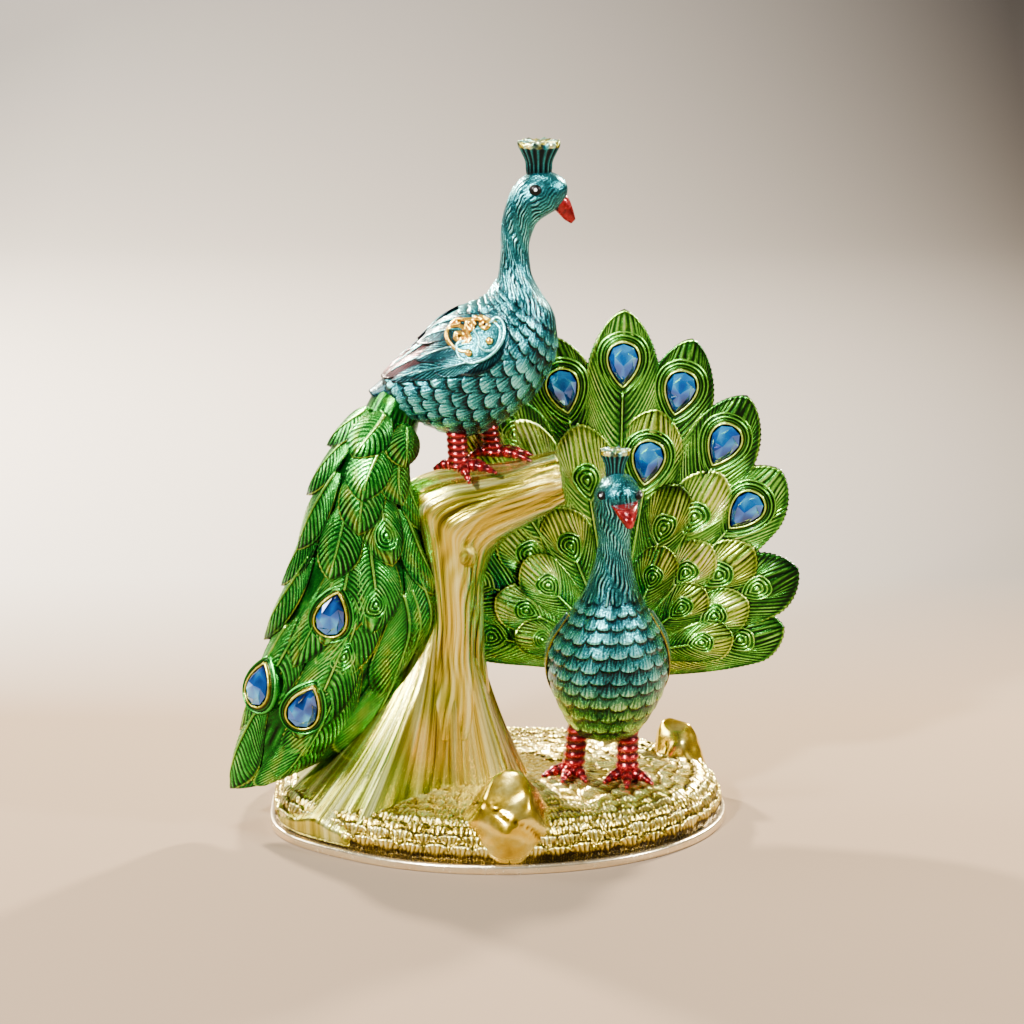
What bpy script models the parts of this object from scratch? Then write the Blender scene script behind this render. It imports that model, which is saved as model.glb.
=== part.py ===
"""Peacock figurine: one casting on an oval grass mound, with nine pear stones set in it.

The birds, the stump and the feathers are drawn on a sheet in millimetres: x to the
right, y away from the viewer, z up from the underside of the mound. STANDING_HEIGHT
sets the size of all that is drawn. The mound, the sheet behind the spread feathers,
the stones and their pockets have sizes of their own.
"""
import math

import bmesh
import bpy
import numpy as np

# Driving dimensions, metres
STANDING_HEIGHT = 0.2298   # from the grass to the top of the upper crest
MOUND_WIDTH = 0.1635
MOUND_DEPTH = 0.1340
MOUND_HEIGHT = 0.0170
RIM_HEIGHT = 0.0032        # plain band under the grass
RIM_STEP = 0.0012          # how far that band stands out past the grass
TUFT_DEPTH = 0.0011
FAN_WALL = 0.0050          # sheet that carries the spread feathers
SHAFT_RISE = 0.0015        # shaft of a feather over its edges
LEAF_STEP = 0.0012         # how far a feather stands over the one it covers
SCALE_LIP = 0.0011         # lip of a breast feather over the next one
STONE_LENGTH = 0.0148
STONE_WIDTH = 0.0102
STONE_CROWN = 0.0025       # stone over its pocket's edge
STONE_SEAT = 0.0019        # stone below its pocket's edge
STONE_GAP = 0.0003
BEZEL_WIDTH = 0.0013
BEZEL_HEIGHT = 0.0030      # pocket's edge over the surface that carries it

CASTING_FACES = 8300       # triangles kept in the casting before the pockets are cut
JOIN_DISTANCE = 0.000001   # points nearer than this are one point

# The sheet that the figure is drawn on
DRAWN_HEIGHT = 229.8
DRAWN_GRASS = 17.0
SCALE = STANDING_HEIGHT / DRAWN_HEIGHT


def metres(points):
    """Drawn points in metres: the drawn grass is at the mound's top, and none is under its foot."""
    points = np.asarray(points, float) * SCALE
    points[..., 2] = np.maximum(points[..., 2] + MOUND_HEIGHT - DRAWN_GRASS * SCALE, RIM_HEIGHT / 3)
    return points


def drawn(length):
    """A length in metres as a length on the sheet."""
    return length / SCALE


def curve(rows, at):
    """Rows read at any place along a smooth curve through them, one unit per row."""
    rows = np.asarray(rows, float)
    last = len(rows) - 1
    at = np.clip(np.asarray(at, float), 0, last)
    start = np.minimum(at.astype(int), last - 1)
    share = (at - start)[..., None]
    before, here, after, beyond = (rows[np.clip(start + k, 0, last)] for k in (-1, 0, 1, 2))
    straight = after - before
    bend = 2 * before - 5 * here + 4 * after - beyond
    twist = 3 * here - before - 3 * after + beyond
    return here + 0.5 * (straight * share + bend * share ** 2 + twist * share ** 3)


def eased(share):
    """0 below 0, 1 above 1, and a smooth step between."""
    share = np.clip(share, 0.0, 1.0)
    return share * share * (3.0 - 2.0 * share)


def body(rows):
    """Surface of an organic form.

    A row is the two edge points as seen from the front (x, z, x, z), half the depth
    and the middle's y. A cross-section is the oval through them. Turn 0 is at the
    second edge point, pi at the first, and -pi/2 faces the viewer.
    """
    def surface(at, turn, lift=0.0):
        ax, az, bx, bz, half, y = np.moveaxis(curve(rows, at), -1, 0)
        cos, sin = np.cos(turn), np.sin(turn)
        arm = np.stack([cos * (bx - ax) / 2, sin * half, cos * (bz - az) / 2], -1)
        size = np.linalg.norm(arm, axis=-1, keepdims=True)
        middle = np.stack([(ax + bx) / 2, y, (az + bz) / 2], -1)
        return middle + arm * (1.0 + np.asarray(lift)[..., None] / np.maximum(size, 0.5))
    surface.last = len(rows) - 1
    return surface


# Meshes. Each shell is a closed body: its points in drawn millimetres and its faces.

def closed_tube(grid, ends=None):
    """Shell from rings of points, closed by a fan of triangles at both ends."""
    rows, columns = grid.shape[:2]
    ends = ends or (grid[0].mean(0), grid[-1].mean(0))
    points = np.vstack([grid.reshape(-1, 3), ends[0], ends[1]])
    first, last = rows * columns, rows * columns + 1
    faces = []
    for i in range(rows - 1):
        for j in range(columns):
            k = (j + 1) % columns
            faces.append((i * columns + j, i * columns + k, (i + 1) * columns + k, (i + 1) * columns + j))
    top = (rows - 1) * columns
    for j in range(columns):
        k = (j + 1) % columns
        faces.append((first, k, j))
        faces.append((last, top + j, top + k))
    return points, faces


def limb(rows, sides, steps, ridges=0, depth=0.0):
    """Closed body through its drawn rows, with an optional number of ridges along it."""
    at = np.linspace(0, len(rows) - 1, steps)[:, None]
    turn = np.linspace(0, 2 * math.pi, sides, endpoint=False)[None, :]
    lift = depth * np.cos(ridges * turn + 0.9 * at)
    return closed_tube(body(rows)(at, turn, lift))


def tube(path, radii, sides):
    """Closed round tube along a path, kept level across x or y."""
    path = np.asarray(path, float)
    radii = np.asarray(radii, float)[:, None, None]
    along = np.gradient(path, axis=0)
    along /= np.linalg.norm(along, axis=1, keepdims=True)
    across = np.cross(along, (0.18, 0.94, 0.30))
    across /= np.linalg.norm(across, axis=1, keepdims=True)
    other = np.cross(along, across)
    turn = np.linspace(0, 2 * math.pi, sides, endpoint=False)[None, :, None]
    ring = across[:, None, :] * np.cos(turn) + other[:, None, :] * np.sin(turn)
    return closed_tube(path[:, None, :] + radii * ring)


def sideways(surface, place, heading, distance):
    """Step in the surface's two parameters that moves a drawn distance across a heading."""
    step = 0.01
    first = (surface(place[:, 0] + step, place[:, 1]) - surface(place[:, 0] - step, place[:, 1])) / (2 * step)
    second = (surface(place[:, 0], place[:, 1] + step) - surface(place[:, 0], place[:, 1] - step)) / (2 * step)
    a = np.linalg.norm(first, axis=1)
    b = np.linalg.norm(second, axis=1)
    u, v = a * heading[0], b * heading[1]
    size = np.hypot(u, v)
    return np.stack([-v / (a * size), u / (b * size)], 1) * distance[:, None]


LEAF_SHAPE = ((0.0, 0.34), (0.30, 0.75), (0.60, 1.0), (0.82, 0.88), (0.95, 0.50), (1.0, 0.12))
FAN_LEAF_SHAPE = ((0.0, 0.30), (0.35, 0.68), (0.65, 0.95), (0.83, 1.0), (0.93, 0.80), (0.985, 0.42), (1.0, 0.14))


def leaf(surface, root, tip, width, lift, sink, rise=None, shape=LEAF_SHAPE):
    """Feather on a surface: two edges, a raised shaft and a keel sunk below the surface."""
    along, wide = np.array(shape).T
    rise = drawn(SHAFT_RISE) if rise is None else rise
    heading = np.subtract(tip, root)
    place = np.add(root, heading * along[:, None])
    side = sideways(surface, place, heading, wide * width / 2)
    level = lift[0] + (lift[1] - lift[0]) * along
    left = surface(*(place - side).T, level)
    right = surface(*(place + side).T, level)
    shaft = surface(*place.T, level + rise * (0.3 + 0.7 * wide))
    keel = surface(*place.T, -sink * (0.25 + 0.75 * wide))
    return closed_tube(np.stack([left, shaft, right, keel], 1))


def nearest_place(surface, x, z):
    """Place on the side of a body that faces the viewer, under a point of the drawing."""
    at = np.linspace(0.0, surface.last, 12 * surface.last + 1)[:, None]
    turn = np.linspace(-0.97 * math.pi, -0.03 * math.pi, 90)[None, :]
    seen = surface(at + 0 * turn, turn + 0 * at)
    miss = np.hypot(seen[..., 0] - x, seen[..., 2] - z)
    i, j = np.unravel_index(np.argmin(miss), miss.shape)
    return at[i, 0], turn[0, j]


# Mound

def mound_radius(turn):
    """Distance from the middle to the mound's edge: an oval, squarer at its front left."""
    power = 2.0 + 0.75 * eased((np.cos(turn + 0.30 * math.pi) * -1.0 + 0.15) / 0.9)
    across = np.abs(np.cos(turn) / (MOUND_WIDTH / 2)) ** power
    deep = np.abs(np.sin(turn) / (MOUND_DEPTH / 2)) ** power
    return (across + deep) ** (-1.0 / power)


# Share of the way in from the edge, and share of the height there
MOUND_PROFILE = ((0.012, 0.30), (0.030, 0.58), (0.062, 0.80), (0.115, 0.92), (0.23, 0.98), (0.50, 1.0))


def mound_height(x, y):
    """Height of the grass at a place, in metres: a low dome that falls off at the back."""
    x, y = np.asarray(x, float), np.asarray(y, float)
    inset = 1.0 - np.hypot(x, y) / mound_radius(np.arctan2(y, x))
    ins, highs = np.array(MOUND_PROFILE).T
    share = np.interp(inset, np.concatenate([[0.0], ins]), np.concatenate([[0.15], highs]))
    return RIM_HEIGHT + (MOUND_HEIGHT - RIM_HEIGHT) * share * (1.0 - 0.28 * eased(2 * y / MOUND_DEPTH))


def mound():
    """The grass mound in metres: a plain rim, then rings of tufts in staggered rows."""
    columns = 72
    turn = np.linspace(0, 2 * math.pi, columns, endpoint=False)
    edge = mound_radius(turn)
    around = np.stack([np.cos(turn), np.sin(turn), 0 * turn], 1)
    rings = []
    for inset, height in ((0.0012, 0.0), (0.0, 0.0008), (0.0, RIM_HEIGHT - 0.0006), (0.0006, RIM_HEIGHT)):
        rings.append(around * (edge - inset)[:, None] + (0, 0, height))
    for row, (inset, share) in enumerate(MOUND_PROFILE):
        tuft = TUFT_DEPTH * (-1.0) ** (np.arange(columns) + row) * (0.6 if share < 0.95 else 0.3)
        ring = around * (edge * (1.0 - inset) - RIM_STEP)[:, None]
        ring += around * tuft[:, None]
        ring[:, 2] = mound_height(ring[:, 0], ring[:, 1]) - 0.4 * tuft
        rings.append(ring)
    middle = (0.0, 0.0, float(mound_height(0.0, 0.0)) + 0.0004)
    return closed_tube(np.stack(rings), ends=((0.0, 0.0, 0.0), middle))


def boulder(x, y, width, depth, height, corners):
    """Faceted stone in metres: the hull of corners given as shares of its size."""
    frame = bmesh.new()
    for cx, cy, cz in corners:
        frame.verts.new((x + cx * width / 2, y + cy * depth / 2, cz * height))
    bmesh.ops.convex_hull(frame, input=frame.verts)
    bmesh.ops.delete(frame, geom=[v for v in frame.verts if not v.link_faces], context="VERTS")
    frame.verts.index_update()
    points = np.array([v.co[:] for v in frame.verts])
    faces = [tuple(v.index for v in face.verts) for face in frame.faces]
    frame.free()
    return points, faces


def rocks():
    """The cracked boulder on the front wall and the low one at the back right."""
    front = ((-0.75, -0.6, 0.05), (0.1, -1.0, 0.04), (0.55, -0.75, 0.12), (-1.0, -0.45, 0.55), (1.0, -0.4, 0.62),
             (-0.9, 0.0, 0.86), (-0.25, 0.05, 1.0), (0.8, 0.1, 0.95), (0.9, 0.9, 0.72), (-0.8, 0.9, 0.7),
             (0.05, -0.95, 0.5), (-0.4, -0.8, 0.75), (0.3, 0.9, 0.2))
    back = ((-0.9, -0.8, 0.05), (0.9, -0.9, 0.0), (1.0, 0.5, 0.0), (-1.0, 0.6, 0.1), (-0.95, -0.5, 0.72),
            (-0.3, 0.1, 1.0), (0.15, -0.45, 0.93), (0.85, -0.2, 0.58), (0.5, 0.9, 0.6), (-0.7, 0.9, 0.75),
            (0.1, -1.0, 0.4))
    return [
        boulder(0.045 * MOUND_WIDTH / 2, -0.83 * MOUND_DEPTH / 2, 0.0275, 0.027, 0.0305, front),
        boulder(0.80 * MOUND_WIDTH / 2, 0.32 * MOUND_DEPTH / 2, 0.0205, 0.019, 0.0270, back),
    ]


# Stump, drawn from the ground up and along the branch to its sawn end
STUMP = (
    (-64, 4, 30, 8, 33, -12), (-57, 14, 19, 18, 28, -11), (-50, 26, 7.5, 25, 21, -10), (-42, 39, 0.5, 34, 16.5, -8),
    (-34, 51, -3.2, 47, 13.5, -7), (-28.5, 64, -4.9, 62, 12, -7), (-26.2, 78, -5.2, 75, 11.5, -7),
    (-27.2, 94, -5.0, 87, 11.8, -7), (-29.5, 109, -3.8, 94, 12.2, -7), (-31.8, 122.5, -1.6, 98.5, 12.4, -7),
    (-22, 128.4, 1.2, 102.2, 12, -7), (-9, 130.2, 6.2, 106.4, 11.2, -7), (5, 131.8, 14, 111.4, 10.4, -7),
    (14, 134, 19.5, 114.6, 10.1, -7), (20.6, 135.6, 24.0, 117.2, 9.8, -7),
)


def stump():
    """Ridged trunk and branch, the knot's twig, and the roots that run out to the rim."""
    half_width, half_depth = drawn(MOUND_WIDTH / 2), drawn(MOUND_DEPTH / 2)
    ground = DRAWN_GRASS - drawn(MOUND_HEIGHT)

    def foot(x_share, y_share, below):
        x, y = x_share * half_width, y_share * half_depth
        return x, y, ground + drawn(float(mound_height(x * SCALE, y * SCALE))) - below

    shells = [limb(STUMP, 21, 17, ridges=7, depth=0.8)]
    near = [(-21, -12, 55), (-34, -22, 33), foot(-0.56, -0.46, 4), foot(-0.74, -0.60, 10)]
    shells.append(tube(near, (8, 13.5, 16, 13), 12))
    left = [(-32, -10, 44), (-49, -14, 26), foot(-0.76, -0.26, 2), foot(-0.88, -0.36, 8)]
    shells.append(tube(left, (8, 12, 12, 8), 10))
    middle = [(-12, -14, 44), (-11, -22, 26), foot(-0.17, -0.50, 1), foot(-0.20, -0.66, 4)]
    shells.append(tube(middle, (6, 8.5, 8, 4), 8))
    right = [(-8, -10, 38), (4, -12, 25), foot(0.20, -0.20, 1), foot(0.31, -0.22, 5)]
    shells.append(tube(right, (5, 6.5, 6, 3), 7))
    behind = [(-18, -2, 42), (-22, 8, 26), foot(-0.34, 0.32, 2), foot(-0.42, 0.50, 7)]
    shells.append(tube(behind, (7, 10, 10, 5), 9))
    twig = [(-11, -15, 99), (-10, -20.5, 101.5), (-9.2, -23, 104.5)]
    shells.append(tube(twig, (3.6, 2.8, 1.9), 6))
    return shells


# Birds: body, neck and head in one run of drawn rows, from the tail end up
PERCHED = (
    (-45, 158, -38, 150.5, 5, -8), (-41.5, 161, -31, 148.5, 9, -8), (-35, 167.5, -25.5, 146.5, 12.5, -8),
    (-27, 175, -17.5, 143.2, 15.5, -8), (-20, 181.8, -8.5, 142.8, 17.6, -8), (-13, 187, 0.5, 146.8, 18.4, -8),
    (-7, 190, 8.5, 152.8, 17.8, -8), (-3.8, 191.8, 15.2, 160.2, 16, -8), (-1.9, 194, 19.4, 169.2, 13.8, -8),
    (-0.6, 196.6, 20.7, 177.8, 11.6, -8), (0.3, 199.6, 19.4, 186, 9.4, -8), (0.8, 203.2, 15.4, 192.4, 7.4, -8),
    (1.1, 208, 12.0, 199.2, 6.0, -8), (1.1, 213.6, 10.9, 206.4, 5.3, -8), (1.7, 218.8, 11.4, 212, 5.2, -8),
    (3.0, 224.2, 13.6, 217.4, 5.9, -8), (5.2, 229.2, 17.4, 220.4, 6.7, -8), (8.6, 233.4, 20.8, 222.4, 6.7, -8),
    (13.2, 235.6, 23.6, 226.0, 5.6, -8), (18.6, 235.2, 24.2, 229.8, 3.6, -8), (21.6, 233.8, 23.4, 232, 1.4, -8),
)
STANDING = (
    (35, 30.5, 44, 30.5, 6, -8), (27, 34.5, 50.5, 35, 14, -7.5), (22, 42.5, 56, 43, 20, -6), (18.8, 51, 59.4, 51, 23.5, -5),
    (18.3, 58.5, 60, 58.5, 24, -5), (20, 66.5, 58.4, 67, 22.5, -6.5), (24.2, 74.5, 54.8, 75, 18.5, -9.5),
    (28.4, 82.2, 51, 82.8, 14.2, -12.2), (31.9, 90.2, 48.6, 90.4, 10.8, -14.2), (34.3, 98.6, 47, 98.8, 8.4, -15.6),
    (35.3, 105.6, 46.4, 105.8, 7.2, -16.6), (34.7, 111.6, 47.4, 111.8, 7.6, -17.4), (33.7, 118, 49.7, 118.4, 8.9, -18.2),
    (33.9, 124, 49.9, 124.2, 9.4, -18.2), (36.4, 128.2, 47.4, 128.4, 7.8, -17.8), (40, 130.8, 43.4, 130.8, 3, -17.4),
)


def feathered(rows, sides, first, last, tiers, steps_above):
    """Bird with tiers of scale feathers between two rows and a smooth neck above them.

    Each tier is a lip with a pointed edge and the recess just under it.
    """
    columns = np.arange(sides)
    spacing = (last - first) / tiers
    at = [np.full(sides, 0.0), np.full(sides, first * 0.55)]
    lift = [np.zeros(sides), np.zeros(sides)]
    for tier in range(tiers):
        points = first + spacing * (tier + 0.24 * (-1.0) ** (columns + tier))
        at += [points - 0.04 * spacing, points + 0.10 * spacing]
        lift += [np.full(sides, -0.1), np.full(sides, drawn(SCALE_LIP))]
    for step in range(1, steps_above + 1):
        at.append(np.full(sides, last + (len(rows) - 1 - last) * step / steps_above))
        lift.append(np.zeros(sides))
    turn = 2 * math.pi * columns / sides
    return closed_tube(body(rows)(np.array(at), np.broadcast_to(turn, (len(at), sides)), np.array(lift)))


def crest(x, y, z, lean, spread, height):
    """Fan-shaped comb of the crown: a waist that opens to a scalloped top."""
    sides = 12
    turn = np.linspace(0, 2 * math.pi, sides, endpoint=False)
    rings = []
    for share, wide in ((-0.25, 0.46), (0.25, 0.46), (0.62, 0.66), (1.0, 1.0)):
        tips = 0.8 * (-1.0) ** np.arange(sides) * (share == 1.0)
        rings.append(np.stack([
            x + lean * share + spread / 2 * wide * np.cos(turn),
            y + 0.36 * spread / 2 * wide * np.sin(turn),
            z + height * share + tips - 1.2 * np.cos(turn) ** 2 * (share == 1.0)], 1))
    return closed_tube(np.stack(rings))


def leg(ankle, hip, radius, toes):
    """Ringed leg from the belly to the ankle, with the toes given by heading and length."""
    ankle, hip = np.array(ankle, float), np.array(hip, float)
    share = np.linspace(0.0, 1.0, 7)[:, None]
    rings = radius * (1.0 + 0.09 * (-1.0) ** np.arange(7))
    shells = [tube(ankle + (hip - ankle) * share, rings, 7)]
    for heading, length, drop in toes:
        way = np.array([math.cos(math.radians(heading)), math.sin(math.radians(heading)), 0.0])
        knuckle = ankle + way * length * 0.5 + (0, 0, 0.4 - 0.4 * drop)
        end = ankle + way * length + (0, 0, -1.2 - drop)
        shells.append(tube([ankle - way * 0.5, knuckle, end], (radius * 0.62, radius * 0.52, radius * 0.2), 5))
    return shells


def perched_bird():
    """The upper bird without its long tail: body, wings, crest, beak and legs."""
    surface = body(PERCHED)
    shells = [feathered(PERCHED, 18, 1.6, 9.6, 8, 9)]
    shells.append(limb(((19.0, 232.6, 19.6, 220.6, 3.4, -8), (23.4, 229.0, 22.4, 219.0, 2.7, -8),
                        (26.2, 223.6, 24.0, 217.0, 1.6, -8), (26.8, 217.6, 25.8, 216.6, 0.5, -8)), 7, 5))
    shells.append(crest(14.3, -8, 234.6, 0.4, 14.6, 11.0))
    for side in (-1, 1):
        middle = side * math.pi / 2
        shells.append(leaf(surface, (7.4, middle + side * 0.06), (2.6, middle - side * 0.20), 18, (1.0, 2.0), 3,
                           rise=1.0, shape=((0, 0.5), (0.2, 0.88), (0.5, 1.0), (0.8, 0.72), (1.0, 0.3))))
        for order in range(4):
            root = (4.6 - 0.3 * order, middle - side * (0.08 + 0.10 * order))
            tip = (0.5 + 0.38 * order, middle + side * (0.02 - 0.26 * order))
            shells.append(leaf(surface, root, tip, 6.4, (2.2, 2.6 - 0.3 * order), 2, rise=1.0))
    shells += leg((-13.5, -14, 132.6), (-14.5, -13, 146), 3.7,
                  ((-20, 14, 0.4), (18, 11, 0.2), (-65, 9, 3.2), (170, 9, 0.6)))
    shells += leg((-1.5, -2, 134.6), (-4.0, -2.5, 148), 3.5,
                  ((-28, 15, 0.6), (6, 14, 0.8), (40, 8, 2.4), (190, 9, 0.8)))
    return shells


def standing_bird():
    """The lower bird: body, folded wings, crest, beak and legs."""
    surface = body(STANDING)
    shells = [feathered(STANDING, 18, 1.2, 7.8, 8, 7)]
    shells.append(limb(((37.6, 121.6, 49.0, 122.4, 6.0, -21), (39.8, 120.8, 48.6, 121.6, 5.4, -27),
                        (42.0, 118.2, 48.2, 119.0, 4.0, -31.5), (44.6, 115.4, 47.0, 115.8, 1.2, -34.6)), 8, 5))
    shells.append(crest(41.4, -17.6, 129.4, 0.0, 10.6, 9.6))
    for side, middle in ((-1, math.pi), (1, 0.0)):
        root = (6.4, middle + side * 0.10)
        shells.append(leaf(surface, root, (1.7, middle + side * 0.55), 17, (0.6, 1.4), 3, rise=1.0))
        shells.append(leaf(surface, (5.4, middle + side * 0.5), (2.2, middle + side * 1.0), 12, (0.8, 1.8), 3, rise=1.0))
    shells += leg((26.8, -12, 20.4), (28.8, -11, 38), 4.0,
                  ((-158, 12, 0.2), (-112, 11, 0.4), (-66, 11, 0.4), (80, 8, 0.6)))
    shells += leg((46.0, -15, 20.0), (46.2, -12, 38), 4.0,
                  ((-140, 11, 0.2), (-92, 12, 0.5), (-42, 12, 0.4), (80, 8, 0.6)))
    return shells


# Draped tail of the upper bird, from the rump down
TRAIN = (
    (-33, 167, -25, 151, 8, -8), (-41, 160.5, -27, 150, 10.5, -8), (-46, 152.5, -28, 144, 12, -8.5), (-52.5, 143.5, -30, 136, 13.4, -9.5),
    (-59, 132, -32, 127, 14.4, -11), (-64.2, 119, -30.5, 115.5, 15, -12), (-67.6, 106, -28.2, 102.5, 15.4, -13),
    (-72, 93.5, -24.8, 90, 15.6, -14), (-77.2, 80, -25, 77.5, 15.4, -14.5), (-81.6, 66, -31, 64.5, 14.6, -15),
    (-85.6, 51.5, -39.5, 50, 13.2, -15.5), (-89.8, 37.5, -49, 36.5, 11, -16), (-92.6, 25, -60, 26.5, 8, -16.5),
    (-93.6, 15, -76, 19, 4, -17),
)

# Feathers of the draped tail by the drawn place of the tip: x, z, length, width, tier
TRAIN_FEATHERS = (
    (-94.2, 14.0, 40, 16, 0), (-92.6, 37.0, 40, 15, 0), (-83, 16.5, 42, 19, 1), (-72.0, 26.6, 44, 21, 1),
    (-57.6, 27.6, 42, 20, 1), (-42.6, 50.2, 40, 18, 1), (-82.0, 70.0, 34, 13, 1), (-83.2, 44.6, 40, 15, 2),
    (-69.4, 37.4, 44, 20, 3), (-59.0, 57.0, 40, 20, 2), (-31.0, 65.0, 38, 18, 1), (-76.0, 89.6, 34, 13, 2),
    (-69.4, 63.8, 36, 15, 3), (-59.0, 72.6, 36, 18, 4), (-45.0, 76.0, 40, 19, 3), (-24.4, 85.6, 36, 16, 2),
    (-67.6, 103.0, 32, 13, 3), (-56.8, 95.8, 30, 14, 5), (-38.6, 100.6, 32, 14, 4), (-28.8, 109.0, 28, 12, 3),
    (-64.6, 121.0, 26, 12, 4), (-48.0, 112.0, 30, 14, 6), (-47.0, 124.0, 28, 13, 7), (-36.0, 121.0, 26, 12, 5),
    (-57.0, 139.0, 22, 11, 5), (-48.2, 137.6, 24, 12, 8), (-35.0, 135.0, 22, 12, 7),
)
TRAIN_STONES = ((-57.2, 83.6), (-67.2, 49.6), (-81.2, 55.0))


def train():
    """Body of the draped tail and its overlapping feathers, front and back."""
    surface = body(TRAIN)
    shells = [limb(TRAIN, 12, 11)]
    step = drawn(LEAF_STEP)
    for x, z, length, width, tier in TRAIN_FEATHERS:
        at, turn = nearest_place(surface, x, z)
        root = max(at - length / 13.8, 0.2), turn + 0.36 * (-math.pi / 2 - turn)
        lift = (0.2 + 0.30 * step * tier, 0.9 + 0.45 * step * tier)
        shells.append(leaf(surface, root, (at, turn), width, lift, 3.0))
    for order in range(11):
        at = 12.6 - 1.0 * order
        turn = math.pi / 2 + 0.55 * (-1.0) ** order * (0.4 if order == 0 else 1.0)
        root = max(at - 2.9, 0.4), math.pi / 2 + 0.4 * (turn - math.pi / 2)
        shells.append(leaf(surface, root, (at, turn), 17 - 0.5 * order, (0.3, 1.4), 3.0))
    return shells


# Spread tail of the lower bird
FAN_X, FAN_Y, FAN_Z = 42.5, 18.0, 55.0
FAN_REACH = 66.0

# Outer feathers by the angle from level right, the reach from the fan's root, and the width
FAN_OUTER = (
    (9.5, 61.5, 23.5), (27.2, 73.0, 26), (50.0, 90.6, 28), (64.4, 106.6, 27), (77.2, 119.4, 26), (89.0, 127.0, 27),
    (101.2, 119.5, 27), (114.0, 107.0, 28), (127.0, 88.0, 26), (148.0, 74.0, 26), (166.0, 62.0, 20),
)
# Inner feathers: angle, reach, width, tier
FAN_INNER = (
    (81.4, 92.4, 24, 1), (99.4, 87.4, 22, 1), (112.5, 96.0, 21, 1), (62.0, 78.0, 22, 1), (121.0, 103.0, 20, 1),
    (129.0, 66.0, 20, 1), (40.0, 64.0, 20, 1), (71.0, 68.0, 19, 2), (112.0, 60.0, 19, 2), (24.0, 52.0, 18, 2),
    (52.0, 54.0, 18, 2), (151.0, 50.0, 17, 2), (132.0, 50.0, 17, 3), (11.0, 43.0, 16, 3), (39.0, 41.0, 16, 3),
    (67.0, 45.0, 16, 3), (165.0, 38.0, 14, 3),
)
FAN_STONES = ((50.0, 0), (64.4, 0), (77.2, 0), (89.0, 0), (101.2, 0), (81.4, 1))
STONE_INSET = 19.6   # from a feather's tip to its stone


def fan_point(x, z, lift=0.0):
    """Front of the fan's sheet: dished a little, and swept forward to meet the stump."""
    across = (x - FAN_X) / FAN_REACH
    y = FAN_Y - 5.0 * across ** 2 - 10.0 * eased((18.0 - x) / 34.0)
    return np.stack([x, y - drawn(FAN_WALL) / 2 - lift, z + 0 * x], -1)


def fan_place(angle, reach):
    """Drawn x and z at an angle and a reach from the fan's root."""
    angle = math.radians(angle)
    return FAN_X + reach * math.cos(angle), FAN_Z + reach * math.sin(angle)


def fan_sheet():
    """The sheet that joins the spread feathers: front and back skins with a thin edge."""
    angles = np.linspace(4.0, 170.0, 21)
    tips = np.array([(a, r) for a, r, w in FAN_OUTER])
    reach = np.interp(angles, tips[:, 0], tips[:, 1]) * 0.82
    shares = np.array([0.0, 0.34, 0.68, 1.0])
    x = FAN_X + np.cos(np.radians(angles)) * reach * shares[:, None]
    z = FAN_Z - 6.0 + np.sin(np.radians(angles)) * (reach + 6.0) * shares[:, None]
    front = fan_point(x, z, 0.0 * x)
    thin = drawn(FAN_WALL) * np.array([1.25, 1.0, 1.0, 0.5])[:, None]
    back = fan_point(x, z, -thin + 0 * x)
    rows, columns = front.shape[:2]
    points = np.vstack([front.reshape(-1, 3), back.reshape(-1, 3)])
    shift = rows * columns
    faces = []
    for i in range(rows - 1):
        for j in range(columns - 1):
            a, b = i * columns + j, i * columns + j + 1
            c, d = b + columns, a + columns
            faces.append((a, b, c, d) if i else (a, c, d))
            faces.append((d + shift, c + shift, b + shift, a + shift) if i else (d + shift, c + shift, a + shift))
    outer = (rows - 1) * columns
    for j in range(columns - 1):
        a, b = outer + j, outer + j + 1
        faces.append((a, b, b + shift, a + shift))
    for j, flip in ((0, 1), (columns - 1, 0)):
        for i in range(rows - 1):
            a, b = i * columns + j, (i + 1) * columns + j
            quad = (a, a + shift, b + shift, b)
            faces.append(quad[::-1] if flip else quad)
    return merged(points, faces)


def merged(points, faces):
    """The same shell with points that share a place made one."""
    keys, index = {}, []
    for point in points:
        key = tuple(np.round(point, 6))
        index.append(keys.setdefault(key, len(keys)))
    kept = [None] * len(keys)
    for key, place in keys.items():
        kept[place] = key
    lists = []
    for face in faces:
        corners = [index[i] for i in face]
        corners = [c for k, c in enumerate(corners) if c != corners[k - 1]]
        if len(set(corners)) > 2:
            lists.append(tuple(corners))
    return np.array(kept), lists


def fan():
    """The spread tail: sheet, outer feathers that show at the back too, and inner tiers."""
    shells = [fan_sheet()]
    wall = drawn(FAN_WALL)
    for order, (angle, reach, width) in enumerate(FAN_OUTER):
        level = 0.5 * (order % 2)
        shells.append(leaf(fan_point, fan_place(angle, 8.0), fan_place(angle, reach), width,
                           (0.3 + level, 0.2 + level), wall + 0.9, shape=FAN_LEAF_SHAPE))
    step = drawn(LEAF_STEP)
    for angle, reach, width, tier in FAN_INNER:
        lift = (0.6 + step * tier, 0.4 + step * tier)
        shells.append(leaf(fan_point, fan_place(angle, reach * 0.25), fan_place(angle, reach), width, lift, 2.0,
                           shape=FAN_LEAF_SHAPE))
    rump = ((30, 50, 55, 50, 8, 6), (25, 57, 60, 57, 13, 6), (26, 66, 59, 66, 12, 7), (33, 75, 52, 75, 7, 8))
    shells.append(limb(rump, 12, 6))
    return shells


# Stones and their pockets, in metres

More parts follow.
